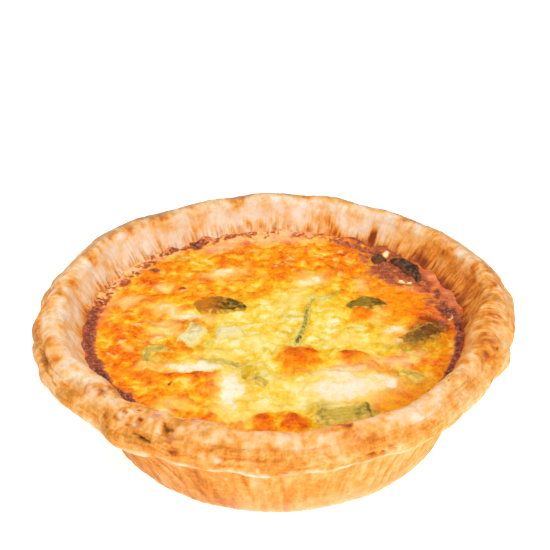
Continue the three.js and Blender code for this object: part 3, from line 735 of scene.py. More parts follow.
def pastry_piece():
    """The case: the uneven profile carried round, pushed out by its fine relief, shut underneath."""
    angle = np.arange(CRUST_COLUMNS) * 360 / CRUST_COLUMNS
    parts = [section_surface(index, section, angle) for index, section in enumerate(SECTIONS)]
    radius, height, place = [np.concatenate([part[k] for part in parts]) for k in range(3)]
    angle = np.repeat(angle[None, :], len(radius), axis=0)
    steps = np.hypot(np.diff(radius, axis=0), np.diff(height, axis=0)).mean(axis=1)
    arc = np.repeat(np.concatenate([[0], np.cumsum(steps)])[:, None], CRUST_COLUMNS, axis=1)
    fields = pastry_fields(angle, place, height, arc)
    masks = pastry_masks(fields)
    relief = pastry_relief(fields, masks) * smooth(0.1, 0.5, place)
    dr, dz = np.gradient(radius, axis=0), np.gradient(height, axis=0)
    long = np.maximum(1e-6, np.hypot(dr, dz))
    radius, height = radius + relief * dz / long, np.maximum(0, height - relief * dr / long)

    hidden = [(FILLING_RADIUS + CASE_GAP - WAIST_NARROWER, WAIST_HEIGHT),
              (FLOOR_CORNER_RADIUS, FLOOR_CORNER_HEIGHT), (FLOOR_RADIUS, FLOOR_THICKNESS)]
    rings_r = np.concatenate([radius] + [np.full((1, CRUST_COLUMNS), r) for r, _ in hidden])
    rings_z = np.concatenate([height] + [np.full((1, CRUST_COLUMNS), z) for _, z in hidden])
    x, y = on_circle(angle[0], rings_r)
    points = np.stack([x, y, rings_z], axis=-1).reshape(-1, 3)
    points = np.concatenate([points, [[0, 0, 0], [0, 0, FLOOR_THICKNESS]]])

    rows = len(rings_r)
    grid = np.arange(rows * CRUST_COLUMNS).reshape(rows, CRUST_COLUMNS)
    ahead = np.roll(grid, -1, axis=1)
    quads = np.stack([grid[:-1], ahead[:-1], ahead[1:], grid[1:]], axis=-1).reshape(-1, 4)
    low, high = len(points) - 2, len(points) - 1
    fans = np.concatenate([
        np.stack([np.full(CRUST_COLUMNS, low), ahead[0], grid[0]], axis=-1),
        np.stack([np.full(CRUST_COLUMNS, high), grid[-1], ahead[-1]], axis=-1)])

    unseen = len(points) - radius.size
    painted = {name: np.concatenate([mask.ravel(), np.full(unseen, 0.3 if name == "brown" else 0)])
               for name, mask in masks.items()}
    along_rim = np.stack([fields.rx, fields.ry, arc], axis=-1).reshape(-1, 3)
    painted["along_rim"] = np.concatenate([along_rim, points[-unseen:]]) * MM
    return mesh_object("pastry", points, quads, fans, painted)


# ------------------------------------------------------------------ shape of the filling

# Browned lumps and pale swellings of the top: x, y, length, width, turn, height.
FILLING_LUMPS = [
    (6, -16, 10, 9, 0, 1.2), (18.5, -14.6, 8, 4, -6, 0.9), (24, -20, 6, 5, 0, 0.5),
    (-22, -28, 17, 14, 8, 0.7), (-21, -22.5, 17, 3.5, -3, 0.8), (-16.5, -28, 5, 5, 0, 0.4),
    (-2.8, -39.5, 5.5, 6.5, 20, 0.9), (4, -40.3, 6, 5.5, -20, 0.9), (27.5, -31.5, 9, 7, 25, 0.6),
    (20, -26, 18, 11, 12, 0.7), (34.5, 9, 14, 17, 20, 0.8), (22.3, 3, 5.5, 5.5, 0, 0.6),
    (-38, -5.5, 5, 10, 8, 0.6), (-31, 12, 9, 6, 0, 0.7), (-13, 24, 8, 5, 15, 0.6),
    (-20.5, 17.5, 7, 6, 30, 0.6), (18, 27, 11, 7, -10, 0.6), (4, 28.5, 9, 6, 10, 0.5),
    (-12, 32, 8, 6, 0, 0.5), (32, 25, 12, 14, 0, 0.5), (9, 36, 9, 6, 0, 0.5), (-33, 22, 6, 8, 0, 0.4),
]

# Hollows of the top: x, y, length, width, turn, depth.
FILLING_HOLLOWS = [
    (-18, -18.5, 16, 5, 8, 0.5), (12, -8, 14, 6, -10, 0.4), (-26, 4, 12, 6, 20, 0.45),
    (7, 19, 12, 6, 15, 0.4), (-11.5, -31, 6, 12, -10, 0.5), (28, -12, 9, 6, 20, 0.4),
]

# The palest part of the top, from which it browns outwards.
PALEST_X, PALEST_Y = 4, -12

# Steps of baking, on a scale where uncoloured curd is 0 and the darkest crust is 1.
YELLOW, AMBER, ORANGE, DEEP, RUSSET, BROWN, BURNT = 0.2, 0.43, 0.52, 0.62, 0.71, 0.81, 0.9

# Where the top is browned: x, y, length, width, turn, step of baking, share of it taken.
BAKED_PATCHES = [
    # the left field
    (-35, -6, 19, 42, 6, ORANGE, 0.75), (-38, -5.5, 4.5, 9.5, 8, 0.66, 0.95),
    (-35.5, 2, 12, 6.5, 0, 0.57, 0.7), (-31, 12, 9, 6.5, 0, 0.6, 0.85),
    (-31.4, 11.4, 3, 3.2, 0, RUSSET, 0.7), (-32, 22, 5, 6, 0, 0.72, 0.8),
    (-31.6, 27.4, 2.6, 3, 0, BURNT, 0.8), (-27, -13, 7, 4, 20, ORANGE, 0.6),
    (-36, -21, 14, 8, -60, 0.58, 0.7), (-31.5, -27, 8, 9, 0, 0.6, 0.9), (-28, -28, 3.5, 7, 0, 0.68, 0.6),
    (-22.5, -3.5, 2.2, 9, 14, 0.6, 0.7), (-21.5, 1, 8, 2, 25, 0.68, 0.65), (-35, -13, 5, 4, 0, 0.62, 0.6),
    (-29, -4.5, 6, 2, -15, DEEP, 0.6), (-23, 5, 12, 3, -12, DEEP, 0.3),
    # spots behind it
    (-23.3, 17, 6.5, 6, 0, 0.58, 0.8), (-23.3, 16.9, 1.7, 2, 0, BURNT, 0.9),
    (-18.2, 20.3, 5, 2.6, 10, 0.6, 0.85), (-23, -4.5, 5, 3, 0, 0.3, 0.6), (-27, 20, 5, 5, 0, 0.4, 0.6),
    (-26, 11, 9, 5, -10, 0.3, 0.6),
    # the browned blister at the left front
    (-21.5, -28.5, 18, 14, 8, AMBER, 0.9), (-21, -22.2, 17, 2.9, -2, 0.64, 0.95),
    (-16.8, -22.3, 7, 4, 0, 0.68, 0.8), (-16.3, -27.3, 4.8, 4.4, 20, 0.63, 0.85),
    (-26, -31, 8, 5, 10, 0.58, 0.75), (-15.6, -38.6, 7, 2.4, -28, 0.62, 0.75),
    (-22, -34.2, 6, 3, 0, 0.36, 0.6), (-22.5, -26.8, 6, 4, 0, 0.36, 0.75),
    (-24.6, -25.1, 0.9, 0.9, 0, BURNT, 1),
    # beads at the front
    (-3, -38.7, 5.6, 5.6, 20, 0.72, 1.0), (4.2, -40.3, 7, 4.6, -20, 0.72, 1.0),
    (-1, -42.5, 13, 3, 0, 0.6, 0.7), (0.7, -39.2, 1.8, 6, 4, 0.36, 0.9), (-10, -40.5, 8, 3, 0, ORANGE, 0.4),
    (2.5, -35, 4, 3, 0, 0.3, 0.6),
    # lumps in the middle
    (5.6, -16.8, 9.6, 10, 0, 0.56, 0.97), (6.6, -14.6, 7.6, 4.8, -4, 0.76, 1.0),
    (6.4, -16.4, 7, 7, 0, 0.61, 0.9), (6, -21.6, 6, 4, 0, 0.5, 0.75), (19.4, -15.2, 8, 2.8, -6, 0.7, 0.95),
    (16.2, -15.4, 2.6, 3.2, 25, BROWN, 0.95), (12.5, -14.8, 3.4, 4.6, 0, 0.27, 0.9),
    (20, -17.4, 10, 4, 0, 0.52, 0.85), (25, -20.4, 6.5, 4.6, 0, 0.54, 0.85),
    (24.5, -16.6, 6, 3.6, 0, 0.42, 0.6),
    # the right field
    (34, 8.5, 15, 18, 15, 0.54, 0.97), (37.5, 12, 9, 10, 0, 0.58, 0.6), (31.5, 1, 7, 5, 20, AMBER, 0.6),
    (22.3, 2.9, 5.8, 5, 0, 0.6, 0.95), (22.4, 4.8, 4.2, 2.2, 0, 0.69, 0.8),
    (40, -15.5, 6, 12, -25, 0.57, 0.85), (36, -20.5, 10, 5, -45, 0.46, 0.6),
    (26.5, -31.8, 11, 6.5, 25, 0.46, 0.97), (28.5, -29.5, 5, 4, 25, 0.56, 0.8),
    (31.5, -30.8, 7, 3.4, 38, 0.66, 0.5), (29.6, -21.8, 3.6, 1.8, 0, 0.62, 0.75),
    (35, -11, 14, 7, 10, 0.38, 0.7), (24.5, 14, 6, 13, 12, 0.53, 0.85),
    # the back
    (4, 31, 46, 20, 0, ORANGE, 0.8), (18, 25.5, 10, 6.5, -10, 0.61, 0.85),
    (2.8, 28.5, 8, 5.5, 10, 0.61, 0.85), (5, 37, 9, 5, 0, 0.6, 0.8), (20, 36, 8, 11, -10, 0.68, 0.85),
    (-12, 31.5, 8, 9, 0, 0.58, 0.8), (-20, 29, 8, 11, 0, 0.36, 0.8), (1.8, 21.3, 2.8, 3.4, 0, 0.7, 0.85),
    (-3, 15.3, 3, 2.8, 20, 0.63, 0.75), (-8, 14, 17, 6, 8, 0.45, 0.8), (-2, 24, 11, 6, 0, 0.5, 0.75),
    (-7, 37, 5, 8, 0, 0.6, 0.6), (-1.5, 33, 2.2, 7, 5, 0.36, 0.6), (11, 33, 3, 8, -5, 0.4, 0.6),
    (-17, 36, 5, 6, 0, 0.44, 0.6), (15, 19, 9, 4, 20, 0.36, 0.6), (4, 18, 10, 4, 10, 0.3, 0.5),
    (42, 4, 7, 18, 0, 0.64, 0.7), (38, -3, 9, 6, 20, 0.6, 0.5), (41, 0.4, 7.5, 9, 0, 0.88, 0.97),
    (36.5, -3.6, 5, 4, 0, 0.8, 0.8), (38.5, 4, 9, 3.4, 10, 0.66, 0.7), (-8, -35.5, 12, 5, 0, 0.22, 0.6),
]

# Smooth domes, calmer than the rest: x, y, length, width, turn.
DOMES = [
    (6, -17, 10, 10, 0), (19, -15, 9, 4, -6), (-3, -39, 5, 6, 0), (4.2, -40.3, 6, 5, 0),
    (22.3, 3.4, 6, 5, 0), (34, 9, 12, 14, 20), (28, -31.8, 12, 7, 25),
]

# Uncoloured curd and melted cheese: x, y, length, width, turn, whiteness.
CREAM_PATCHES = [
    (-13, 24.2, 9.5, 4.4, 12, 0.75), (-9, 26.3, 4, 2, 20, 0.6), (-22, 4.6, 14, 4, -18, 0.85),
    (-27, -1, 6, 2.6, 0, 0.7), (-29, -5.8, 5, 2, 10, 0.6), (-18.5, -17.8, 17, 4.2, 2, 1.0),
    (17, -28, 18.5, 9.5, 10, 1.0), (15, -23.3, 12, 4, -5, 0.95), (26, -25.6, 7, 4, 0, 1.0),
    (12, -27.5, 9, 7, 0, 0.95), (-3, -34, 7, 3, 0, 0.7), (-7, -29.5, 5, 4, 0, 0.6),
    (4, -34.5, 8, 2.6, 0, 0.5), (-10.6, -28, 6.4, 17, -4, 1.0), (-8, -38, 5, 6, 0, 0.5),
    (10, 20, 8, 5, 12, 0.8), (6.5, 16.5, 5, 3, 30, 0.6), (23, 18, 3, 6, 10, 0.6),
    (-37, 12.4, 7, 3.6, 10, 0.7), (14, -34.5, 7, 2.6, 10, 0.8), (17, -8, 10, 2.8, -8, 0.6),
    (30, -8, 5, 3.4, 0, 0.6), (30, -3.6, 5, 3, 10, 0.85), (-26.4, -35.6, 4.6, 4.4, 0, 0.9),
    (5, 11.5, 8, 3.6, 15, 0.55), (3, 7, 6, 3.4, 20, 0.5), (-6, -9, 14, 6, 5, 0.4), (8, -29, 9, 7, 0, 0.45),
    (-30.5, -16.5, 5, 3, 0, 0.6), (0, -24, 6, 5, 0, 0.4), (23, 7.5, 2, 1.4, 0, 0.3),
    (25.5, 0.5, 3, 4, 0, 0.5), (-13, -13, 12, 4, 10, 0.5), (27, 5, 3, 3, 0, 0.5),
    (-27, 8, 9, 3.4, -15, 0.7), (-28.5, 18.5, 5, 2.6, 0, 0.6), (-27.5, 1.6, 7, 2.4, -10, 0.6),
    (-23.5, -32.5, 6, 3, 0, 0.5), (-26.8, -3, 8, 2.6, -8, 0.75),
]

# A pink blush on the palest curd: x, y, length, width, turn, strength.
BLUSH_PATCHES = [
    (18, -27, 20, 12, 10, 0.2), (29, -16.5, 10, 4, 0, 0.5), (37, 15, 9, 3, -20, 0.3),
    (-43, 12, 4, 14, -10, 0.3), (18, -19.4, 9, 3.6, 0, 0.8), (15, -22, 10, 4, 0, 0.4),
    (0, 43.5, 30, 4, 0, 0.5), (-13, 40, 12, 5, 20, 0.45), (42, 6, 3, 12, 0, 0.2), (33, -14, 7, 3, 0, 0.4),
]

# Green juice of the leek in the curd: x, y, length, width, turn, strength.
HERB_PATCHES = [
    (9.2, 8.5, 1.6, 8, -10, 0.8), (14.5, 12.6, 10, 1.8, 34, 0.6), (5.2, -7.5, 4, 9, 0, 0.3),
    (33, -11, 11, 3, -10, 0.6), (39.5, -8.6, 7, 3.4, 12, 0.4), (-25, 33.7, 5, 2.2, 0, 0.45),
    (-5.5, -21, 6, 10, 20, 0.4), (10.5, -36, 6, 7, 0, 0.5), (-14.5, -16.2, 7, 1.7, -25, 0.6),
    (-29, -11, 8, 8, 0, 0.3), (31.6, -23, 9, 4, -30, 0.45), (22.2, -35.6, 3.4, 2, 15, 0.9),
    (11.4, -40.6, 6, 2.4, 0, 0.6), (4, 3, 5, 3, 0, 0.35), (-12, -3, 12, 8, 0, 0.22),
    (-18, -9, 8, 5, 0, 0.25), (38, -4, 10, 9, 30, 0.4), (22, -1.5, 8, 3, 0, 0.2), (-20, -1, 3, 6, 30, 0.5),
]

# Scorched spots of the top: x, y, length, width, turn, strength.
BURNT_PATCHES = [
    (32.6, 26, 16, 17, 35, 0.85), (30.5, 22, 12, 7, -10, 0.8), (38.5, 20, 10, 6, -60, 0.6),
    (24.5, 32, 6, 7, 0, 0.6), (43.4, 5, 4.4, 8, 8, 1.0), (40.4, 9.4, 6, 7, 0, 0.62),
    (34.4, 17, 7, 4, -20, 0.62), (32.6, 17.8, 7, 3.6, -10, 0.7), (32, 20.6, 12, 4.5, -10, 0.7),
    (38.8, 16, 8, 5, -50, 0.72), (-31.6, 27.6, 3.4, 2.6, 20, 0.95), (-23.3, 16.9, 1.9, 1.5, 0, 0.9),
    (-20.3, 40.6, 5, 4.2, 0, 1.0), (-24.6, -25.1, 1.0, 1.0, 0, 0.9), (-7.3, 45.8, 3, 2, 0, 0.85),
    (-12, 44.8, 5, 1.6, 20, 0.75), (-1.8, 45.4, 1.2, 1.2, 0, 0.8), (7, 44.6, 4, 2.0, 0, 0.85),
    (20, 39.6, 4, 3, -30, 0.75), (-33.6, 30.2, 3.6, 2.2, 30, 0.8), (-38.2, 22, 3, 2.4, 50, 0.8),
    (-26.5, 38.4, 4, 1.8, 30, 0.8), (-34.4, -29.6, 5.4, 3.4, -38, 1.05),
]

# Painted glints, pale flecks on the scorched parts, and green on one of them: x, y, length, width, turn,
# strength.
GLINT_FLECKS = [
    (30.6, 34.2, 2.0, 2.8, 0, 1), (33.5, 18.9, 1.4, 1.96, 0, 1), (35.5, 18.2, 1.3, 1.82, 0, 1),
    (44.6, 2.6, 1.2, 1.68, 0, 1),
]
HERB_ON_SCORCH = (29.5, 28.5, 7, 6, 0, 0.8)

# The baked ring where the filling meets the pastry: angle, middle radius, half width, strength.
RING_STOPS = [
    (2, 45.5, 1.4, 1.0), (11, 44.3, 1.8, 1.0), (19, 44.4, 1.7, 0.95), (27, 44.3, 1.8, 0.95),
    (35, 44.0, 2.4, 0.95), (45, 43.6, 3.2, 0.9), (56, 44.4, 2.6, 0.85), (64, 45.0, 1.8, 0.75),
    (72, 45.8, 1.4, 0.6), (80, 46.2, 1.6, 0.55), (92, 46.4, 1.5, 0.6), (104, 46.6, 1.6, 0.65),
    (113, 46.0, 1.8, 0.9), (120, 46.0, 1.9, 1.0), (127, 46.6, 1.4, 0.8), (138, 45.0, 2.6, 0.56),
    (150, 44.8, 2.8, 0.54), (160, 45.4, 2.2, 0.66), (168, 46.0, 1.9, 1.0), (180, 45.9, 1.8, 1.1),
    (192, 45.9, 1.7, 1.1), (200, 45.5, 1.5, 1.1), (209, 45.4, 1.2, 1.1), (214, 45.6, 1.0, 1.0),
    (219, 45.4, 1.7, 1.1), (224, 45.4, 1.1, 0.7), (228, 47, 0.5, 0.1), (285, 47.5, 0.5, 0.1),
    (310, 46.2, 0.7, 0.6), (328, 46.8, 0.8, 0.9), (336, 46.2, 1.0, 1.0), (343, 46.0, 1.1, 1.0),
    (354, 45.8, 1.0, 1.0),
]

# How broken up the ring is, how steeply it fades outwards against inwards, and how shaggy it is, as
# stops of angle and value.
RING_BROKEN = [
    (0, 0.1), (12, 0.4), (28, 0.4), (45, 0.2), (64, 0.6), (100, 0.8), (116, 0.4), (130, 0.7), (160, 0.6),
    (172, 0.15), (330, 0.1),
]
RING_OUTWARDS = [(0, 0.5), (8, 1.1), (34, 1.1), (44, 0.5)]
RING_SHAGGY = [(62, 0), (85, 1), (162, 1), (174, 0)]

# How dry, how rusty and how burnt the top is where it climbs the pastry: angle, value.
DRIER_EDGE = [(3, 0), (10, 1), (34, 1), (42, 0)]
RUSTY_EDGE = [(0, 1), (60, 0.9), (85, 0.1), (160, 0.1), (175, 1), (215, 1), (228, 0), (312, 0), (335, 1)]
BURNT_EDGE = [
    (0, 0.9), (62, 0.9), (75, 0), (170, 0), (180, 0.9), (208, 0.9), (220, 0), (336, 0), (342, 0.9),
]


def filling_height(x, y):
    """Height of the filling: a dome with lumps, hollows and a ripple, its edge climbing the pastry."""
    share = np.minimum(1, np.hypot(x, y) / FILLING_RADIUS)
    inside = 1 - smooth(0.86, 1, share)
    height = FILLING_EDGE_HEIGHT + FILLING_DOME * (1 - share ** 2.4)
    height = height + FILLING_MENISCUS * smooth(0.93, 1, share)
    for row in FILLING_LUMPS:
        height = height + inside * row[5] * patch(x, y, row)
    for row in FILLING_HOLLOWS:
        height = height - inside * row[5] * patch(x, y, row)
    return height + inside * plan_ripple(x, y, 19, 9, 17, 5.5, 0.3)


def strongest_patch(rows, x, y, hardness):
    """The strongest of the patches at each point, each times the strength that ends its row, if any."""
    total = 0 * x
    for row in rows:
        strength = row[5] if len(row) > 5 else 1
        total = np.maximum(total, strength * patch(x, y, row, hardness))
    return total


def left_field(x, y):
    """The broad browned field at the left, as a share from 0 to 1."""
    return smooth(-14, -26, x) * (1 - smooth(24, 34, np.abs(y)))


def filling_fields(x, y):
    """What all marks of the top are painted from, at each point.

    wx and wy are its place bent by noise. centre is the distance from the palest part, and curd
    that from the seams between curds. left and back are the shares of the browned fields, dome of
    the smooth domes, shaggy of the shaggy part of the ring, and drier of the drier part of the
    edge. rough, fine and marble are noises.
    """
    turn = np.degrees(np.arctan2(y, x)) % 360
    curd_x = x + 1.2 * noise(x / 3, y / 3, 0, 542)
    curd_y = y + 0.9 * noise(x / 2, y / 2, 0, 543)
    return SimpleNamespace(
        x=x, y=y, turn=turn, radius=np.hypot(x, y),
        wx=x + 1.3 * noise(x / 4.2, y / 4.2, 0, 511) + 0.5 * noise(x / 1.5, y / 1.5, 0, 512),
        wy=y + 1.3 * noise(x / 4.2, y / 4.2, 7, 513) + 0.5 * noise(x / 1.5, y / 1.5, 7, 514),
        centre=np.hypot(x - PALEST_X, (y - PALEST_Y) / 1.3),
        left=left_field(x, y),
        back=smooth(20, 27, y) * smooth(30, 24, x),
        dome=strongest_patch(DOMES, x, y, 2.5),
        curd=cells_apart(curd_x, curd_y, 3.8, 544),
        marble=marbled(x / 1.15, y, 0, 2.8, 541),
        rough=fractal(x, y, 0, 1.6, 2, 517),
        fine=fractal(x, y, 0, 0.8, 2, 547),
        shaggy=around(turn, *RING_SHAGGY),
        drier=around(turn, *DRIER_EDGE))


def baked_and_loose(f):
    """How baked the top is, browner outwards, and where its curds are loose and mottled."""
    baked = YELLOW + 0.3 * smooth(14, 33, f.centre)
    baked = baked + 0.08 * fractal(f.x, f.y, 0, 6.5, 2, 515)
    for row in BAKED_PATCHES:
        baked = baked + (row[5] - baked) * row[6] * patch(f.wx, f.wy, row, 1.6)
    streaks = smooth(0, 0.8, fractal(f.wx / 2.2, f.wy, 0, 2.6, 3, 516))
    baked = baked - streaks * (0.04 * (1 - f.dome) + 0.17 * np.maximum(f.left, 0.8 * f.back))
    baked = baked + 0.1 * (1 - 0.6 * f.dome) * fractal(f.wx / 1.6, f.wy, 0, 3.0, 3, 519)
    loose = (1 - 0.7 * smooth(0.44, 0.6, baked)) * (1 - f.dome)
    baked = baked + 0.12 * f.marble * loose
    return baked - 0.12 * (smooth(0.1, 0.75, f.curd) - 0.45) * loose, loose


def cream_mask(f):
    """How creamy the top is: patches, and threads of pale curd."""
    threads = smooth(0.3, 0.8, 0.7 * fractal(f.wx / 2.6, f.wy, 0, 2.0, 2, 520) - 0.6 * f.marble)
    curds = smooth(0.55, 1.0, f.curd + 0.4 * noise(f.x / 6, f.y / 6, 0, 545))
    threads = np.maximum(threads, 0.8 * curds)
    threads = threads * (1 - f.dome) * (0.34 + 0.3 * np.maximum(f.left, f.back))
    return np.maximum(strongest_patch(CREAM_PATCHES, f.wx, f.wy, 1.4), threads)


def herb_mask(f, cream_and_glints):
    """How green the top is: faint seams between curds round the centre, and patches by the leek."""
    seams = 0.34 * smooth(0.16, 0.0, f.curd) * smooth(30, 20, f.centre)
    seams = seams * smooth(-0.3, 0.4, noise(f.x / 5, f.y / 5, 0, 546))
    seams = seams * (1 - smooth(0.45, 0.75, cream_and_glints))
    return np.maximum(seams, strongest_patch(HERB_PATCHES, f.wx, f.wy, 1.4))


def ring_mask(f):
    """The baked ring: exp(-(distance from its middle / half width) ** 1.8), times its strength."""
    middle, half, strength = [around(f.turn, *[(row[0], row[k]) for row in RING_STOPS]) for k in (1, 2, 3)]
    wobble = 0.5 * noise(f.x / 2.6, f.y / 2.6, 0, 501) + 0.35 * noise(f.x / 1.1, f.y / 1.1, 0, 502)
    away = (f.radius - middle + wobble) / half
    away = np.where(away > 0, around(f.turn, *RING_OUTWARDS) * away, away)
    gaps = smooth(-0.1, 0.5, fractal(f.x, f.y, 0, 3.0, 3, 503))
    strength = strength * (1 - around(f.turn, *RING_BROKEN) * gaps)
    return np.exp(-(away ** 2) ** 0.9) * strength


def burnt_mask(f):
    """How burnt the top is: the baked ring, and scorched patches."""
    uneven = 1 - 0.1 * f.shaggy + 0.25 * f.rough + f.shaggy * (0.4 * f.rough + 0.9 * f.fine)
    patches = strongest_patch(BURNT_PATCHES, f.wx, f.wy, 1.6) * (0.9 + 0.35 * f.rough)
    return np.maximum(np.clip(ring_mask(f) * uneven, 0, 1.05), patches)


def filling_masks(x, y):
    """How baked, creamy, blushing, green and burnt the top is, with painted glints, from patches bent by
    noise.
    """
    f = filling_fields(x, y)
    baked, loose = baked_and_loose(f)
    cream_and_glints = cream_mask(f)
    herb = herb_mask(f, cream_and_glints)
    burnt = burnt_mask(f)

    climbing = smooth(FILLING_RADIUS - 0.6, FILLING_RADIUS + 0.4, f.radius + 0.4 * f.rough + 1.8 * f.drier)
    baked = baked + climbing * around(f.turn, *RUSTY_EDGE) * (0.72 + 0.08 * f.rough - baked)
    outermost = f.radius - FILLING_RADIUS
    fringe = 0.8 * f.shaggy * smooth(-3.0, -0.9, outermost + 0.6 * f.rough)
    fringe = np.maximum(fringe, 0.3 * f.drier * smooth(-2.0, -1.0, outermost))
    blush = np.maximum(strongest_patch(BLUSH_PATCHES, f.wx, f.wy, 1.3), fringe)
    edge_burn = 0.78 - 0.5 * f.drier + 0.3 * f.rough - burnt
    burnt = burnt + edge_burn * smooth(-0.2, 0.6, outermost) * around(f.turn, *BURNT_EDGE)

    # Pale flecks of painted glint over the scorched parts, carried with the curd.
    glint_flecks = strongest_patch(GLINT_FLECKS, f.wx, f.wy, 2)
    burnt = burnt * (1 - glint_flecks)
    covered = np.clip(1.3 * burnt, 0, 1)
    cream_and_glints = np.maximum(cream_and_glints * (1 - covered), glint_flecks)
    herb = np.maximum(herb * (1 - 0.8 * covered), strongest_patch([HERB_ON_SCORCH], f.wx, f.wy, 1.8))
    mottle = 0.1 * fractal(x, y, 0, 1.7, 3, 518, 0.7) * (0.25 + 0.75 * loose)
    return dict(baked=np.clip(baked + mottle, 0, 1), cream_and_glints=cream_and_glints, blush=blush * (1 - covered), herb=herb,
                burnt=np.clip(burnt, 0, 1))


def filling_relief(x, y, masks):
    """Fine relief of the top: curds, browned blisters and pits, softer where it is burnt."""
    curds = smooth(0.05, 0.55, cells_apart(x + 0.8 * noise(x / 3, y / 3, 0, 521), y, 3.4, 522))
    small = smooth(0.05, 0.5, cells_apart(x, y + 0.5 * noise(x / 2, y / 2, 0, 523), 1.5, 524))
    dome = strongest_patch(DOMES, x, y, 2)
    left = left_field(x, y)
    calm = (1 - 0.8 * dome) * (1 - 0.6 * left) * (1 - 0.8 * masks["burnt"])
    calm = calm * (1 - 0.75 * smooth(0.5, 0.9, masks["cream_and_glints"]))
    relief = (0.3 * (curds - 0.6) + 0.12 * (small - 0.6)) * calm
    relief = relief + 0.2 * fractal(x, y, 0, 2.2, 3, 525) * (1 - 0.6 * dome)
    relief = relief + 0.4 * (smooth(0.4, 0.66, masks["baked"]) * (1 - smooth(0.7, 0.86, masks["baked"])))
    relief = relief + 0.2 * masks["cream_and_glints"] * (1 - 0.7 * left)
    return relief + 0.12 * masks["burnt"] * fractal(x, y, 0, 1.0, 2, 526)


def filling_piece():
    """The filling: a square grid bent into a disc by x = u sqrt(1 - v v / 2), and closed below."""
    line = np.linspace(-1, 1, FILLING_CELLS + 1)
    u, v = np.meshgrid(line, line)
    x = FILLING_REACH * u * np.sqrt(1 - v * v / 2)
    y = FILLING_REACH * v * np.sqrt(1 - u * u / 2)
    masks = filling_masks(x, y)
    radius = np.hypot(x, y)
    inside = 1 - smooth(FILLING_RADIUS - 0.6, FILLING_RADIUS + 0.8, radius)
    height = filling_height(x, y) + inside * filling_relief(x, y, masks)
    angle = np.degrees(np.arctan2(y, x))
    climb = 0.25 + ring_wander(angle, 83, 14, 60, 0.35)
    height = height + climb * smooth(FILLING_RADIUS - 0.8, FILLING_RADIUS + 0.6, radius)
    top = np.stack([x, y, height], axis=-1).reshape(-1, 3)

    side = FILLING_CELLS + 1
    grid = np.arange(side * side).reshape(side, side)
    quads = [np.stack([grid[:-1, :-1], grid[:-1, 1:], grid[1:, 1:], grid[1:, :-1]], axis=-1).reshape(-1, 4)]
    border = np.concatenate([grid[0, :-1], grid[:-1, -1], grid[-1, :0:-1], grid[:0:-1, 0]])
    turn = np.arctan2(top[border, 1], top[border, 0])
    bottom = FLOOR_THICKNESS + CASE_GAP
    rings = [(FILLING_RADIUS - WAIST_NARROWER, WAIST_HEIGHT),
             (FLOOR_CORNER_RADIUS - CASE_GAP, FLOOR_CORNER_HEIGHT + 0.2), (FLOOR_RADIUS - CASE_GAP, bottom)]
    points = [top]
    last = border
    count = len(top)
    for ring_radius, ring_height in rings:
        flat = np.full_like(turn, ring_height)
        points.append(np.stack([ring_radius * np.cos(turn), ring_radius * np.sin(turn), flat], axis=-1))
        ring = count + np.arange(len(turn))
        quads.append(np.stack([ring, np.roll(ring, -1), np.roll(last, -1), last], axis=-1))
        last = ring
        count += len(turn)
    points.append(np.array([[0, 0, bottom]]))
    fan = np.stack([np.full(len(turn), count), np.roll(last, -1), last], axis=-1)
    points = np.concatenate(points)
    unseen = len(points) - len(top)
    painted = {name: np.concatenate([mask.ravel(), np.full(unseen, 0.2)]) for name, mask in masks.items()}
    return mesh_object("filling", points, np.concatenate(quads), fan, painted)


# ------------------------------------------------------------------ pieces of leek and leaf

# Outlines: the share of the half width that is left at the tips, how far out the piece stays wide
# and how blunt it is, as topping_plan takes them.
POINTED, BLUNT = (0.1, 1.7, 0.85), (0.45, 4.0, 0.5)

# What pieces of one kind share: outline, crown height, thickness, depth sunk in, finish, slot, and
# worn, the share of the way out past which egg covers a piece.
LEAF = dict(form=POINTED, thickness=0.9, sunk=0.6, finish="green", slot="leek_green", worn=0.6)
CHARRED = dict(form=POINTED, thickness=1.2, sunk=0.3, finish="charred", slot="leaf_charred", worn=0.6)
SLICE = dict(form=BLUNT, crown=0.25, thickness=0.9, sunk=0.6)
SHRED = dict(form=BLUNT, crown=0.2, thickness=0.7, sunk=0.5, finish="pale", slot="leek_pale")
ONION = dict(form=BLUNT, crown=0.2, thickness=0.8, sunk=0.6, finish="onion", slot="leek_pale")

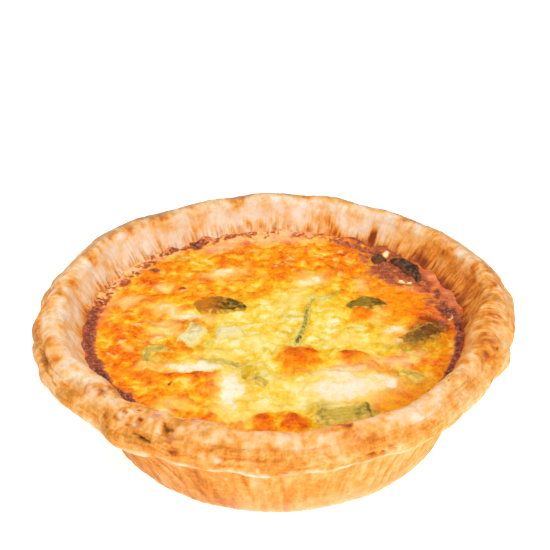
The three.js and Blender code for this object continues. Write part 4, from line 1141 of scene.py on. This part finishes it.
# Each piece: middle x and y, length, width, turn of its length and sideways bow; how brown and how
# dark it is, as stops spread evenly along its length; and where it differs from its kind.
TOPPINGS = {
    "leek_leaf_left": dict(
        LEAF, at=(-13.5, 8.3), length=14.6, width=8.6, turn=-8, bow=0.0, crown=0.4,
        brown=(0.7, 1, 0.8, 0.3, 0), dark=(0, 0.2, 0.65, 1, 0.4)),
    "leek_leaf_right": dict(
        LEAF, at=(23.5, 7.8), length=10.8, width=7.4, turn=5, bow=1.4, crown=0.3,
        brown=(0.1, 0.05, 0.1), dark=(0.65, 0.25, 0.6, 0.8)),
    "charred_leaf_left": dict(
        CHARRED, at=(28.4, 30.8), length=5, width=4, turn=-35, bow=0.4, crown=0.4,
        brown=(0.4, 0.2, 0.3), dark=(0.45, 0.7, 0.45)),
    "charred_leaf_right": dict(
        CHARRED, at=(35.2, 26.1), length=13.4, width=4.8, turn=-59, bow=1.5, crown=0.5,
        brown=(0.2, 0.1, 0.2), dark=(0.6, 0.8, 0.95)),
    "leek_slice_right": dict(
        SLICE, at=(36.6, -5.4), length=11.5, width=7.4, turn=38, bow=-0.6, finish="brown green",
        slot="leek_green", brown=(0.1, 0.65, 1), dark=(0.1, 0.6, 0.35), worn=0.4),
    "leek_strip_centre": dict(
        SLICE, at=(7.3, -1.2), length=20, width=1.7, turn=79, bow=-0.9, thickness=0.6, sunk=0.4,
        finish="celadon", slot="leek_green", brown=(0, 0, 0), dark=(1, 0.6, 0.5, 0.1), worn=0.3),
    "leek_fold_left": dict(
        SLICE, at=(-28.9, -12), length=8, width=3.8, turn=40, bow=4, thickness=0.8, finish="pale",
        slot="leek_pale", brown=(0.2, 0.2, 0.2), dark=(0.5, 0.2, 0.55), worn=0.4),
    "leek_shred_front_left": dict(
        SHRED, at=(-11, -17.3), length=7, width=3.2, turn=-27, bow=0.3,
        brown=(0, 0, 0), dark=(0.15, 0.1, 0.45), worn=0.35),
    "leek_shred_olive": dict(
        SHRED, at=(-6.4, -20.8), length=5, width=2.8, turn=-104, bow=0.3, finish="ochre",
        slot="leek_green", brown=(0.1, 0.1, 0.4), dark=(0, 0, 0.3), worn=0.4),
    "leek_shred_front": dict(
        SHRED, at=(-3.4, -24.6), length=5.4, width=2.8, turn=-52, bow=-0.3, slot="leek_green",
        brown=(0.2, 0.2, 0.2), dark=(0.4, 0.1, 0.3), worn=0.4),
    "leek_slice_front": dict(
        SLICE, at=(16, -37), length=14, width=5.6, turn=13, bow=-0.5, crown=0.3, finish="yellow green",
        slot="leek_pale", brown=(0, 0, 0, 0.2), dark=(0.6, 0.2, 0, 0, 0.6, 1), worn=0.5),
    "leek_shred_front_right": dict(
        SHRED, at=(32.2, -22.4), length=7, width=4, turn=-38, bow=0.3,
        brown=(0.8, 0.5, 0.5), dark=(0, 0.3, 0.1), worn=0.25),
    "onion_petal_left": dict(
        ONION, at=(-20.2, -4.2), length=9.5, width=6.2, turn=66, bow=-0.8,
        brown=(0, 0, 0.3, 0.8), dark=(0.35, 0, 0.15), worn=0.3),
    "onion_petal_centre": dict(
        ONION, at=(-11, -4.2), length=7.4, width=5.4, turn=12, bow=0.4,
        brown=(0, 0, 0), dark=(0.3, 0, 0), worn=0.25),
}

EDGE_SHARE = 0.45           # a piece's edge has this share of its thickness
BED_MARGIN = 1.15           # its bed reaches this much further than it does
VEIN_TURNS = 3.2            # the veins turn through this many radians in half a millimetre
TOPPING_FINENESS = 0.16     # size of a cell of its mesh


def topping_plan(row, u, v):
    """Plan place on a piece: u along, v across; half width tip + (1 - tip) (1 - |u| ** a) ** b."""
    tip, taper, sharpness = row["form"]
    half = 0.5 * row["width"] * (tip + (1 - tip) * (1 - np.minimum(1, np.abs(u)) ** taper) ** sharpness)
    along = 0.5 * row["length"] * u
    across = half * v + row["bow"] * (0.5 - u * u)
    c, s = math.cos(math.radians(row["turn"])), math.sin(math.radians(row["turn"]))
    return row["at"][0] + along * c - across * s, row["at"][1] + along * s + across * c


def bedded_height(x, y):
    """The filling's height with a shallow bed under each piece."""
    height = filling_height(x, y)
    for row in TOPPINGS.values():
        bed = (*row["at"], BED_MARGIN * row["length"], BED_MARGIN * row["width"] + 2.5, row["turn"])
        height = height - row["sunk"] * patch(x, y, bed)
    return height


def topping_masks(row, seed, u, v, x, y, vein):
    """How brown, dark, veined and covered by egg a piece is at each point."""
    share = 0.5 + 0.5 * u + 0.16 * noise(u * 2 + seed, v * 2, 0, seed + 5)
    brown, dark = [np.interp(share, np.linspace(0, 1, len(row[key])), row[key])
                   for key in ("brown", "dark")]
    brown = brown + 0.4 * fractal(x, y, 0, 1.8, 3, seed + 6)
    dark = dark * (0.85 + 1.5 * fractal(x, y, 0, 1.3, 3, seed + 7))
    outwards = np.maximum(np.abs(v), np.abs(u) ** 4) + 0.4 * fractal(x, y, 0, 1.4, 3, seed + 9)
    return dict(brown=np.clip(brown, 0, 1), dark=np.clip(dark, 0, 1), vein=0.5 + 0.5 * vein,
                edge=smooth(row["worn"], row["worn"] + 0.5, outwards))


def topping_piece(name, row, seed):
    """A thin wavy sheet of leek on the filling, veined along its length, its edge tucked in."""
    cells_u = int(row["length"] / TOPPING_FINENESS)
    cells_v = max(10, int(row["width"] / TOPPING_FINENESS))
    u, v = np.meshgrid(np.linspace(-1, 1, cells_u + 1), np.linspace(-1, 1, cells_v + 1), indexing="ij")
    ragged = 1 + np.abs(v) * (0.2 * noise(3 * u + seed, np.sign(v) * 3, 0, seed)
                              + 0.12 * noise(9 * u + seed, np.sign(v) * 3, 0, seed + 8))
    x, y = topping_plan(row, u, v * ragged)
    x = x + 0.4 * noise(x / 1.8, y / 1.8, 0, seed + 1)
    y = y + 0.4 * noise(x / 1.8, y / 1.8, 5, seed + 2)
    bed = bedded_height(x, y) + BED_GAP
    fullness = (1 - v * v) * (1 - u ** 4)
    edge = EDGE_SHARE * row["thickness"]
    lift = row["crown"] * fullness
    vein = np.cos(VEIN_TURNS * v * row["width"] + 0.8 * noise(u * 3, v * 2, 0, seed + 3))
    wave = 0.26 * fractal(x, y, 0, 2.0, 2, seed + 4) * np.sqrt(np.maximum(0, fullness))
    rim = np.maximum(np.abs(v), np.abs(u)) ** 8
    body = (0.8 * (row["thickness"] - edge) + 0.06 * vein) * fullness
    over = bed + edge + body + lift + wave - 0.75 * rim
    under = np.minimum(bed + 0.5 * lift - 0.35 - 0.5 * rim, over - 0.25)

    count = u.size
    points = np.concatenate([np.stack([x, y, z], axis=-1).reshape(-1, 3) for z in (over, under)])
    grid = np.arange(count).reshape(u.shape)
    faces = np.stack([grid[:-1, :-1], grid[1:, :-1], grid[1:, 1:], grid[:-1, 1:]], axis=-1).reshape(-1, 4)
    rim_loop = np.concatenate([grid[:-1, 0], grid[-1, :-1], grid[:0:-1, -1], grid[0, :0:-1]])
    ahead = np.roll(rim_loop, -1)
    wall = np.stack([rim_loop + count, ahead + count, ahead, rim_loop], axis=-1)
    quads = np.concatenate([faces, faces[:, ::-1] + count, wall])
    masks = topping_masks(row, seed, u, v, x, y, vein)
    painted = {key: np.tile(mask.ravel(), 2) for key, mask in masks.items()}
    skin_name = name.replace("leek", "leek_skin") if "leek" in name else name + "_skin"
    return mesh_object(skin_name, points, quads, NO_TRIANGLES, painted)


# ------------------------------------------------------------------ materials

LIGHT_LEVEL = 1.12          # how bright a white surface facing up comes out in the light below


def tint(red, green, blue):
    """The surface colour that comes out as this screen colour under the lights."""
    screen = np.array([red, green, blue]) / 255
    linear = np.where(screen <= 0.04045, screen / 12.92, ((screen + 0.055) / 1.055) ** 2.4)
    return (*np.clip(linear / LIGHT_LEVEL, 0, 1), 1.0)


def add_node(tree, kind, inputs=None, **settings):
    """A new node with its settings; an input given a socket is linked, any other is set."""
    node = tree.nodes.new(kind)
    for key, value in settings.items():
        setattr(node, key, value)
    for key, value in (inputs or {}).items():
        if isinstance(value, bpy.types.NodeSocket):
            tree.links.new(value, node.inputs[key])
        else:
            node.inputs[key].default_value = value
    return node


def calculate(tree, operation, *values, clamp=False):
    """One Math node and its output."""
    node = add_node(tree, "ShaderNodeMath", dict(enumerate(values)), operation=operation, use_clamp=clamp)
    return node.outputs[0]


def add_share(tree, value, other, share, clamp=False):
    """value + share * other."""
    return calculate(tree, "ADD", value, calculate(tree, "MULTIPLY", other, share), clamp=clamp)


def mask_of(tree, name):
    """The value of one of the mesh's masks."""
    return add_node(tree, "ShaderNodeAttribute", attribute_name=name).outputs["Fac"]


def broken_mask(tree, name, level, speckle, share):
    """A mask of the mesh, broken up by noise: mask * (level + share * speckle), kept from 0 to 1."""
    kept = add_share(tree, level, speckle, share)
    return calculate(tree, "MULTIPLY", mask_of(tree, name), kept, clamp=True)


def share_between(tree, value, low, high, kind="LINEAR"):
    """How far a value is on its way from low to high, from 0 to 1."""
    node = add_node(tree, "ShaderNodeMapRange", {"Value": value, "From Min": low, "From Max": high},
                    interpolation_type=kind)
    return node.outputs["Result"]


def mix_colours(tree, factor, first, second):
    """One Mix node for colours: first where the factor is 0, second where it is 1."""
    node = add_node(tree, "ShaderNodeMix", {0: factor, 6: first, 7: second}, data_type="RGBA")
    return node.outputs[2]


def colour_ramp(tree, value, stops):
    """A colour ramp of (position, colour) stops, read at a value."""
    node = add_node(tree, "ShaderNodeValToRGB", {"Fac": value})
    ramp = node.color_ramp
    while len(ramp.elements) > 1:
        ramp.elements.remove(ramp.elements[-1])
    ramp.elements[0].position, ramp.elements[0].color = stops[0]
    for position, colour in stops[1:]:
        ramp.elements.new(position).color = colour
    return node.outputs["Color"]


def baked_colours(tree, value, steps):
    """The steps of baking as a colour ramp: position, and the screen colour's red, green and blue."""
    return colour_ramp(tree, value, [(position, tint(*colour)) for position, *colour in steps])


def new_group(name, inputs, outputs):
    """An empty node group with named inputs, each of its kind, and number outputs; its own inputs."""
    group = bpy.data.node_groups.new(name, "ShaderNodeTree")
    for socket, kind in inputs.items():
        group.interface.new_socket(socket, in_out="INPUT", socket_type=kind)
    for socket in outputs:
        group.interface.new_socket(socket, in_out="OUTPUT", socket_type="NodeSocketFloat")
    return group, add_node(group, "NodeGroupInput").outputs


def texture_noise(group, place, scale, detail, roughness):
    """The value of one Noise texture node."""
    node = add_node(group, "ShaderNodeTexNoise",
                    {"Vector": place, "Scale": scale, "Detail": detail, "Roughness": roughness})
    return node.outputs["Fac"]


def grain_group():
    """Baked grain: two sizes of soft noise, as a mottle about 0, the fine one alone, and a height."""
    inputs = {"Place": "NodeSocketVector", "Coarse per metre": "NodeSocketFloat",
              "Fine per metre": "NodeSocketFloat"}
    group, source = new_group("baked grain", inputs, ["Mottle", "Fine", "Height"])
    coarse = texture_noise(group, source[0], source[1], 3.0, 0.6)
    fine = texture_noise(group, source[0], source[2], 2.0, 0.55)
    mottle = add_share(group, calculate(group, "SUBTRACT", coarse, 0.5),
                       calculate(group, "SUBTRACT", fine, 0.5), 0.7)
    height = add_share(group, coarse, fine, 0.5)
    add_node(group, "NodeGroupOutput", {"Mottle": mottle, "Fine": fine, "Height": height})
    return group


def strand_group():
    """Drawn-out strands: noise on a place squeezed by the given scales, about 0, and a height."""
    inputs = {"Place": "NodeSocketVector", "Squeeze": "NodeSocketVector"}
    group, source = new_group("drawn strands", inputs, ["Strands", "Height"])
    squeezed = add_node(group, "ShaderNodeVectorMath", {0: source[0], 1: source[1]}, operation="MULTIPLY")
    strands = texture_noise(group, squeezed.outputs[0], 1.0, 3.0, 0.5)
    about_zero = calculate(group, "SUBTRACT", strands, 0.5)
    add_node(group, "NodeGroupOutput", {"Strands": about_zero, "Height": strands})
    return group


GRAIN = grain_group()
STRANDS = strand_group()


def new_material(name):
    """An empty material with a Principled shader and the mesh's own coordinates in metres."""
    material = bpy.data.materials.new(name)
    material.use_nodes = True
    tree = material.node_tree
    tree.nodes.clear()
    shader = add_node(tree, "ShaderNodeBsdfPrincipled")
    add_node(tree, "ShaderNodeOutputMaterial", {"Surface": shader.outputs["BSDF"]})
    place = add_node(tree, "ShaderNodeTexCoord").outputs["Object"]
    return material, tree, shader, place


def use_grain(tree, place, coarse, fine):
    """Baked grain with so many coarse and so many fine grains to a metre."""
    inputs = {"Place": place, "Coarse per metre": coarse, "Fine per metre": fine}
    return add_node(tree, "ShaderNodeGroup", inputs, node_tree=GRAIN).outputs


def use_strands(tree, place, around_rim, along_profile):
    """Drawn strands with so many to a metre round the rim, and so many along the profile."""
    inputs = {"Place": place, "Squeeze": (around_rim, around_rim, along_profile)}
    return add_node(tree, "ShaderNodeGroup", inputs, node_tree=STRANDS).outputs


def set_surface(tree, shader, colour, gloss, roughness, mottle, share):
    """Colour, gloss, and a roughness stirred by a share of mottle."""
    tree.links.new(colour, shader.inputs["Base Color"])
    tree.links.new(add_share(tree, roughness, mottle, share), shader.inputs["Roughness"])
    shader.inputs["Specular IOR Level"].default_value = gloss


def let_light_in(shader, reach):
    """A little light goes under the surface, its red, green and blue as far as their reach, in mm."""
    shader.inputs["Subsurface Weight"].default_value = 0.06
    shader.inputs["Subsurface Radius"].default_value = reach
    shader.inputs["Subsurface Scale"].default_value = MM


def add_bump(tree, shader, height, strength, distance):
    """Fine relief from a height, in metres, into the shader's normal."""
    bump = add_node(tree, "ShaderNodeBump", {"Height": height, "Strength": strength, "Distance": distance})
    tree.links.new(bump.outputs["Normal"], shader.inputs["Normal"])


# Screen colours by how baked the pastry is, by how dark a mark or the painted shade of a crease is, by
# how baked the filling is and by how burnt its crust is: position, red, green, blue.
PASTRY_COLOURS = [
    (0.0, 255, 238, 220), (0.2, 254, 224, 194), (0.35, 253, 208, 158), (0.5, 252, 188, 112),
    (0.62, 248, 164, 74), (0.75, 226, 134, 46), (0.87, 198, 104, 42), (1.0, 150, 70, 36),
]
MARK_AND_CREASE_SHADE_COLOURS = [(0.0, 232, 158, 70), (0.45, 196, 122, 36), (0.8, 140, 80, 22), (1.0, 104, 54, 16)]
EGG_COLOURS = [
    (0.0, 255, 244, 205), (0.1, 254, 235, 155), (0.2, 252, 220, 98), (0.3, 253, 206, 55),
    (0.4, 254, 184, 28), (0.52, 252, 152, 8), (0.62, 245, 120, 6), (0.71, 222, 88, 8),
    (0.8, 176, 62, 16), (0.89, 112, 44, 26), (1.0, 66, 30, 24),
]
CRUSTED_COLOURS = [
    (0.2, 240, 142, 50), (0.42, 212, 104, 46), (0.62, 166, 78, 46), (0.82, 134, 60, 44), (1.0, 86, 40, 40),
]


def pastry_material():
    """Baked pastry: cream to brown by how baked it is, with strands, grain, creases and scorch."""
    material, tree, shader, place = new_material("baked pastry")
    rim_place = add_node(tree, "ShaderNodeAttribute", attribute_name="along_rim").outputs["Vector"]
    grain = use_grain(tree, place, 420.0, 1500.0)
    strands = use_strands(tree, rim_place, 1100.0, 170.0)
    hairs = use_strands(tree, rim_place, 2100.0, 260.0)
    layers = use_strands(tree, rim_place, 120.0, 1300.0)
    mottle = grain["Mottle"]

    drawn = mask_of(tree, "drawn")
    up = calculate(tree, "MAXIMUM", drawn, 0.0)
    along = calculate(tree, "MAXIMUM", calculate(tree, "MULTIPLY", drawn, -1.0), 0.0)
    tone = add_share(tree, mask_of(tree, "brown"), mottle, add_share(tree, 0.42, up, -0.26))
    tone = add_share(tree, tone, strands["Strands"], 0.26)
    tone = add_share(tree, tone, up, hairs["Strands"])
    tone = add_share(tree, tone, calculate(tree, "MULTIPLY", along, layers["Strands"]), 0.45)
    colour = baked_colours(tree, tone, PASTRY_COLOURS)
    # The pale mix holds floury patches, and also the painted highlight on the lip and the painted light at
    # the foot.
    pale = broken_mask(tree, "pale", 0.85, strands["Strands"], 2.0)
    colour = mix_colours(tree, pale, colour, tint(255, 236, 212))
    # The mix along the crest's outer edge is painted shade; olive and scorch are the pastry's own colour.
    for name, level, share, screen in [
            ("olive", 0.75, 2.4, (190, 134, 56)), ("edge_shade", 0.8, 2.0, (186, 150, 116)),
            ("scorch", 0.8, 1.6, (170, 80, 46))]:
        colour = mix_colours(tree, broken_mask(tree, name, level, mottle, share), colour, tint(*screen))
    # Dark browned marks, and painted shade in the cracks, slits and fold.
    crease = mask_of(tree, "crease")
    colour = mix_colours(tree, crease, colour, baked_colours(tree, crease, MARK_AND_CREASE_SHADE_COLOURS))

    set_surface(tree, shader, colour, 0.04, 0.58, mottle, 0.3)
    let_light_in(shader, (1.0, 0.5, 0.25))
    add_bump(tree, shader, add_share(tree, grain["Height"], strands["Height"], 0.8), 0.55, 0.0004)
    return material


def filling_material():
    """Baked egg: cream, yellow, orange, brown and burnt by its baking, with curd, blush and herb."""
    material, tree, shader, place = new_material("baked egg filling")
    grain = use_grain(tree, place, 480.0, 1700.0)
    mottle = grain["Mottle"]

    tone = add_share(tree, mask_of(tree, "baked"), mottle, 0.44)
    colour = baked_colours(tree, tone, EGG_COLOURS)
    # The curd mix also carries the painted glints on the scorched parts.
    cream_and_glints = broken_mask(tree, "cream_and_glints", 0.98, mottle, 1.3)
    colour = mix_colours(tree, cream_and_glints, colour, tint(254, 226, 134))
    colour = mix_colours(tree, share_between(tree, cream_and_glints, 0.6, 1.0), colour, tint(255, 242, 220))
    colour = mix_colours(tree, mask_of(tree, "blush"), colour, tint(250, 208, 168))
    herb = broken_mask(tree, "herb", 0.8, mottle, 2.2)
    colour = mix_colours(tree, herb, colour, tint(146, 142, 48))

    burnt = calculate(tree, "MULTIPLY", mask_of(tree, "burnt"), 0.9)
    burnt = add_share(tree, burnt, mottle, 0.75)
    crusted = baked_colours(tree, burnt, CRUSTED_COLOURS)
    crumbs = calculate(tree, "MULTIPLY", share_between(tree, grain["Fine"], 0.5, 0.66), 0.5)
    crusted = mix_colours(tree, crumbs, crusted, tint(222, 156, 122))
    colour = mix_colours(tree, share_between(tree, burnt, 0.2, 0.56, "SMOOTHSTEP"), colour, crusted)

    set_surface(tree, shader, colour, 0.05, 0.42, mottle, 0.5)
    let_light_in(shader, (1.0, 0.6, 0.25))
    add_bump(tree, shader, grain["Height"], 0.5, 0.00035)
    return material


def leek_material(name, fresh, faint, browned, shadow, ground):
    """Baked leek: fresh and faint by its veins, browned and dark by its masks, egg over its edge."""
    material, tree, shader, place = new_material(name)
    grain = use_grain(tree, place, 700.0, 2200.0)
    mottle = grain["Mottle"]
    vein = calculate(tree, "MULTIPLY", mask_of(tree, "vein"), 0.6)
    colour = mix_colours(tree, add_share(tree, vein, mottle, 1.6, clamp=True), tint(*fresh), tint(*faint))
    for mask, share, screen in [("brown", 0.7, browned), ("dark", 1.0, shadow), ("edge", 0.8, ground)]:
        covered = add_share(tree, mask_of(tree, mask), mottle, share, clamp=True)
        colour = mix_colours(tree, covered, colour, tint(*screen))
    set_surface(tree, shader, colour, 0.07, 0.45, mottle, 0.4)
    add_bump(tree, shader, grain["Height"], 0.5, 0.0003)
    return material


# Screen colours of each kind of leek: fresh, faint, browned, dark, and the egg over its edge.
LEEK_COLOURS = {
    "green": [(142, 122, 28), (184, 150, 46), (212, 120, 14), (82, 56, 18), (240, 186, 66)],
    "brown green": [(178, 140, 44), (140, 104, 40), (126, 64, 24), (88, 54, 28), (204, 142, 44)],
    "celadon": [(204, 186, 78), (226, 200, 96), (232, 184, 74), (92, 90, 34), (244, 220, 108)],
    "yellow green": [(206, 178, 56), (232, 198, 108), (222, 160, 60), (120, 98, 34), (240, 208, 104)],
    "pale": [(214, 186, 78), (232, 208, 116), (224, 166, 62), (128, 104, 34), (247, 214, 100)],
    "ochre": [(226, 180, 26), (232, 192, 44), (206, 140, 22), (140, 116, 32), (248, 212, 88)],
    "onion": [(238, 226, 166), (252, 244, 208), (204, 152, 54), (196, 178, 96), (249, 224, 140)],
    "charred": [(108, 74, 46), (130, 100, 62), (148, 90, 52), (46, 38, 38), (146, 82, 50)],
}
LEEK_FINISHES = {name: leek_material(name + " skin", *colours) for name, colours in LEEK_COLOURS.items()}


# ------------------------------------------------------------------ the quiche

def dress(piece, material, node):
    """Give a piece its material and its body, and hide the plain solid that it stands for."""
    piece.data.materials.append(material)
    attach(piece, "root")
    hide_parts(node)


dress(pastry_piece(), pastry_material(), "pastry_case")
dress(filling_piece(), filling_material(), "egg_filling")
for order, (topping_name, topping) in enumerate(TOPPINGS.items()):
    dress(topping_piece(topping_name, topping, 601 + 11 * order), LEEK_FINISHES[topping["finish"]],
          topping_name)


# ------------------------------------------------------------------ floor, light and camera

def studio_floor():
    """A wide pale floor that glows a little, as a lit table does."""
    half = 3000.0
    points = np.array([[-half, -half, 0], [half, -half, 0], [half, half, 0], [-half, half, 0]])
    floor = mesh_object("floor", points, np.array([[0, 1, 2, 3]]), NO_TRIANGLES, {})
    material, tree, shader, place = new_material("pale floor")
    grain = use_grain(tree, place, 3.0, 20.0)
    greys = [(0.0, (0.88, 0.88, 0.88, 1)), (1.0, (0.9, 0.9, 0.9, 1))]
    tree.links.new(colour_ramp(tree, grain["Height"], greys), shader.inputs["Base Color"])
    shader.inputs["Roughness"].default_value = 0.9
    shader.inputs["Specular IOR Level"].default_value = 0.0
    shader.inputs["Emission Color"].default_value = (1, 1, 1, 1)
    shader.inputs["Emission Strength"].default_value = 0.7
    floor.data.materials.append(material)


def soft_light(name, place, target, size, power):
    """A square area light at a place, aimed at a target, both in metres."""
    light = bpy.data.lights.new(name, "AREA")
    light.size = size
    light.energy = power
    lamp = bpy.data.objects.new(name, light)
    bpy.context.scene.collection.objects.link(lamp)
    aim = Vector(target) - Vector(place)
    lamp.matrix_world = Matrix.Translation(place) @ aim.to_track_quat("-Z", "Y").to_matrix().to_4x4()


def studio_lights():
    """A bright even room, a large key at the back left and a soft fill at the front."""
    world = bpy.data.worlds.new("bright room")
    world.use_nodes = True
    world.node_tree.nodes["Background"].inputs["Color"].default_value = (1, 1, 1, 1)
    world.node_tree.nodes["Background"].inputs["Strength"].default_value = 0.36
    bpy.context.scene.world = world
    middle = (0, 0, 0.025)
    soft_light("key", (-0.3, 0.25, 0.82), middle, 0.5, 4.9)
    soft_light("fill", (0.42, -0.7, 0.55), middle, 0.6, 5.6)


CAMERA_HEIGHT = 33.0        # degrees above the level
CAMERA_DISTANCE = 0.380     # metres from the aim
CAMERA_AIM = (0, 0, 0.029)
CAMERA_RAISE = 1.556        # degrees that the view is raised past the aim
CAMERA_SWING = 0.075        # degrees that it is swung to the right
CAMERA_ROLL = -1.0
CAMERA_LENS = 100.0


def photographer():
    """A long lens looking down on the quiche from the front."""
    lift = math.radians(CAMERA_HEIGHT)
    back = Vector((0, -math.cos(lift), math.sin(lift)))
    right = Vector((1, 0, 0))
    forward = -back
    up = right.cross(forward)
    raised = math.radians(CAMERA_RAISE)
    forward = forward * math.cos(raised) + up * math.sin(raised)
    up = right.cross(forward)
    swing = math.radians(CAMERA_SWING)
    forward = forward * math.cos(swing) + right * math.sin(swing)
    right = forward.cross(up)
    roll = math.radians(CAMERA_ROLL)
    right = right * math.cos(roll) + up * math.sin(roll)
    up = right.cross(forward)
    data = bpy.data.cameras.new("photographer")
    data.lens = CAMERA_LENS
    data.sensor_width = 36.0
    data.clip_start = 0.01
    camera = bpy.data.objects.new("photographer", data)
    bpy.context.scene.collection.objects.link(camera)
    turned = Matrix((right, up, -forward)).transposed().to_4x4()
    camera.matrix_world = Matrix.Translation(Vector(CAMERA_AIM) + CAMERA_DISTANCE * back) @ turned
    bpy.context.scene.camera = camera


studio_floor()
studio_lights()
photographer()
bpy.context.scene.view_settings.view_transform = "Standard"
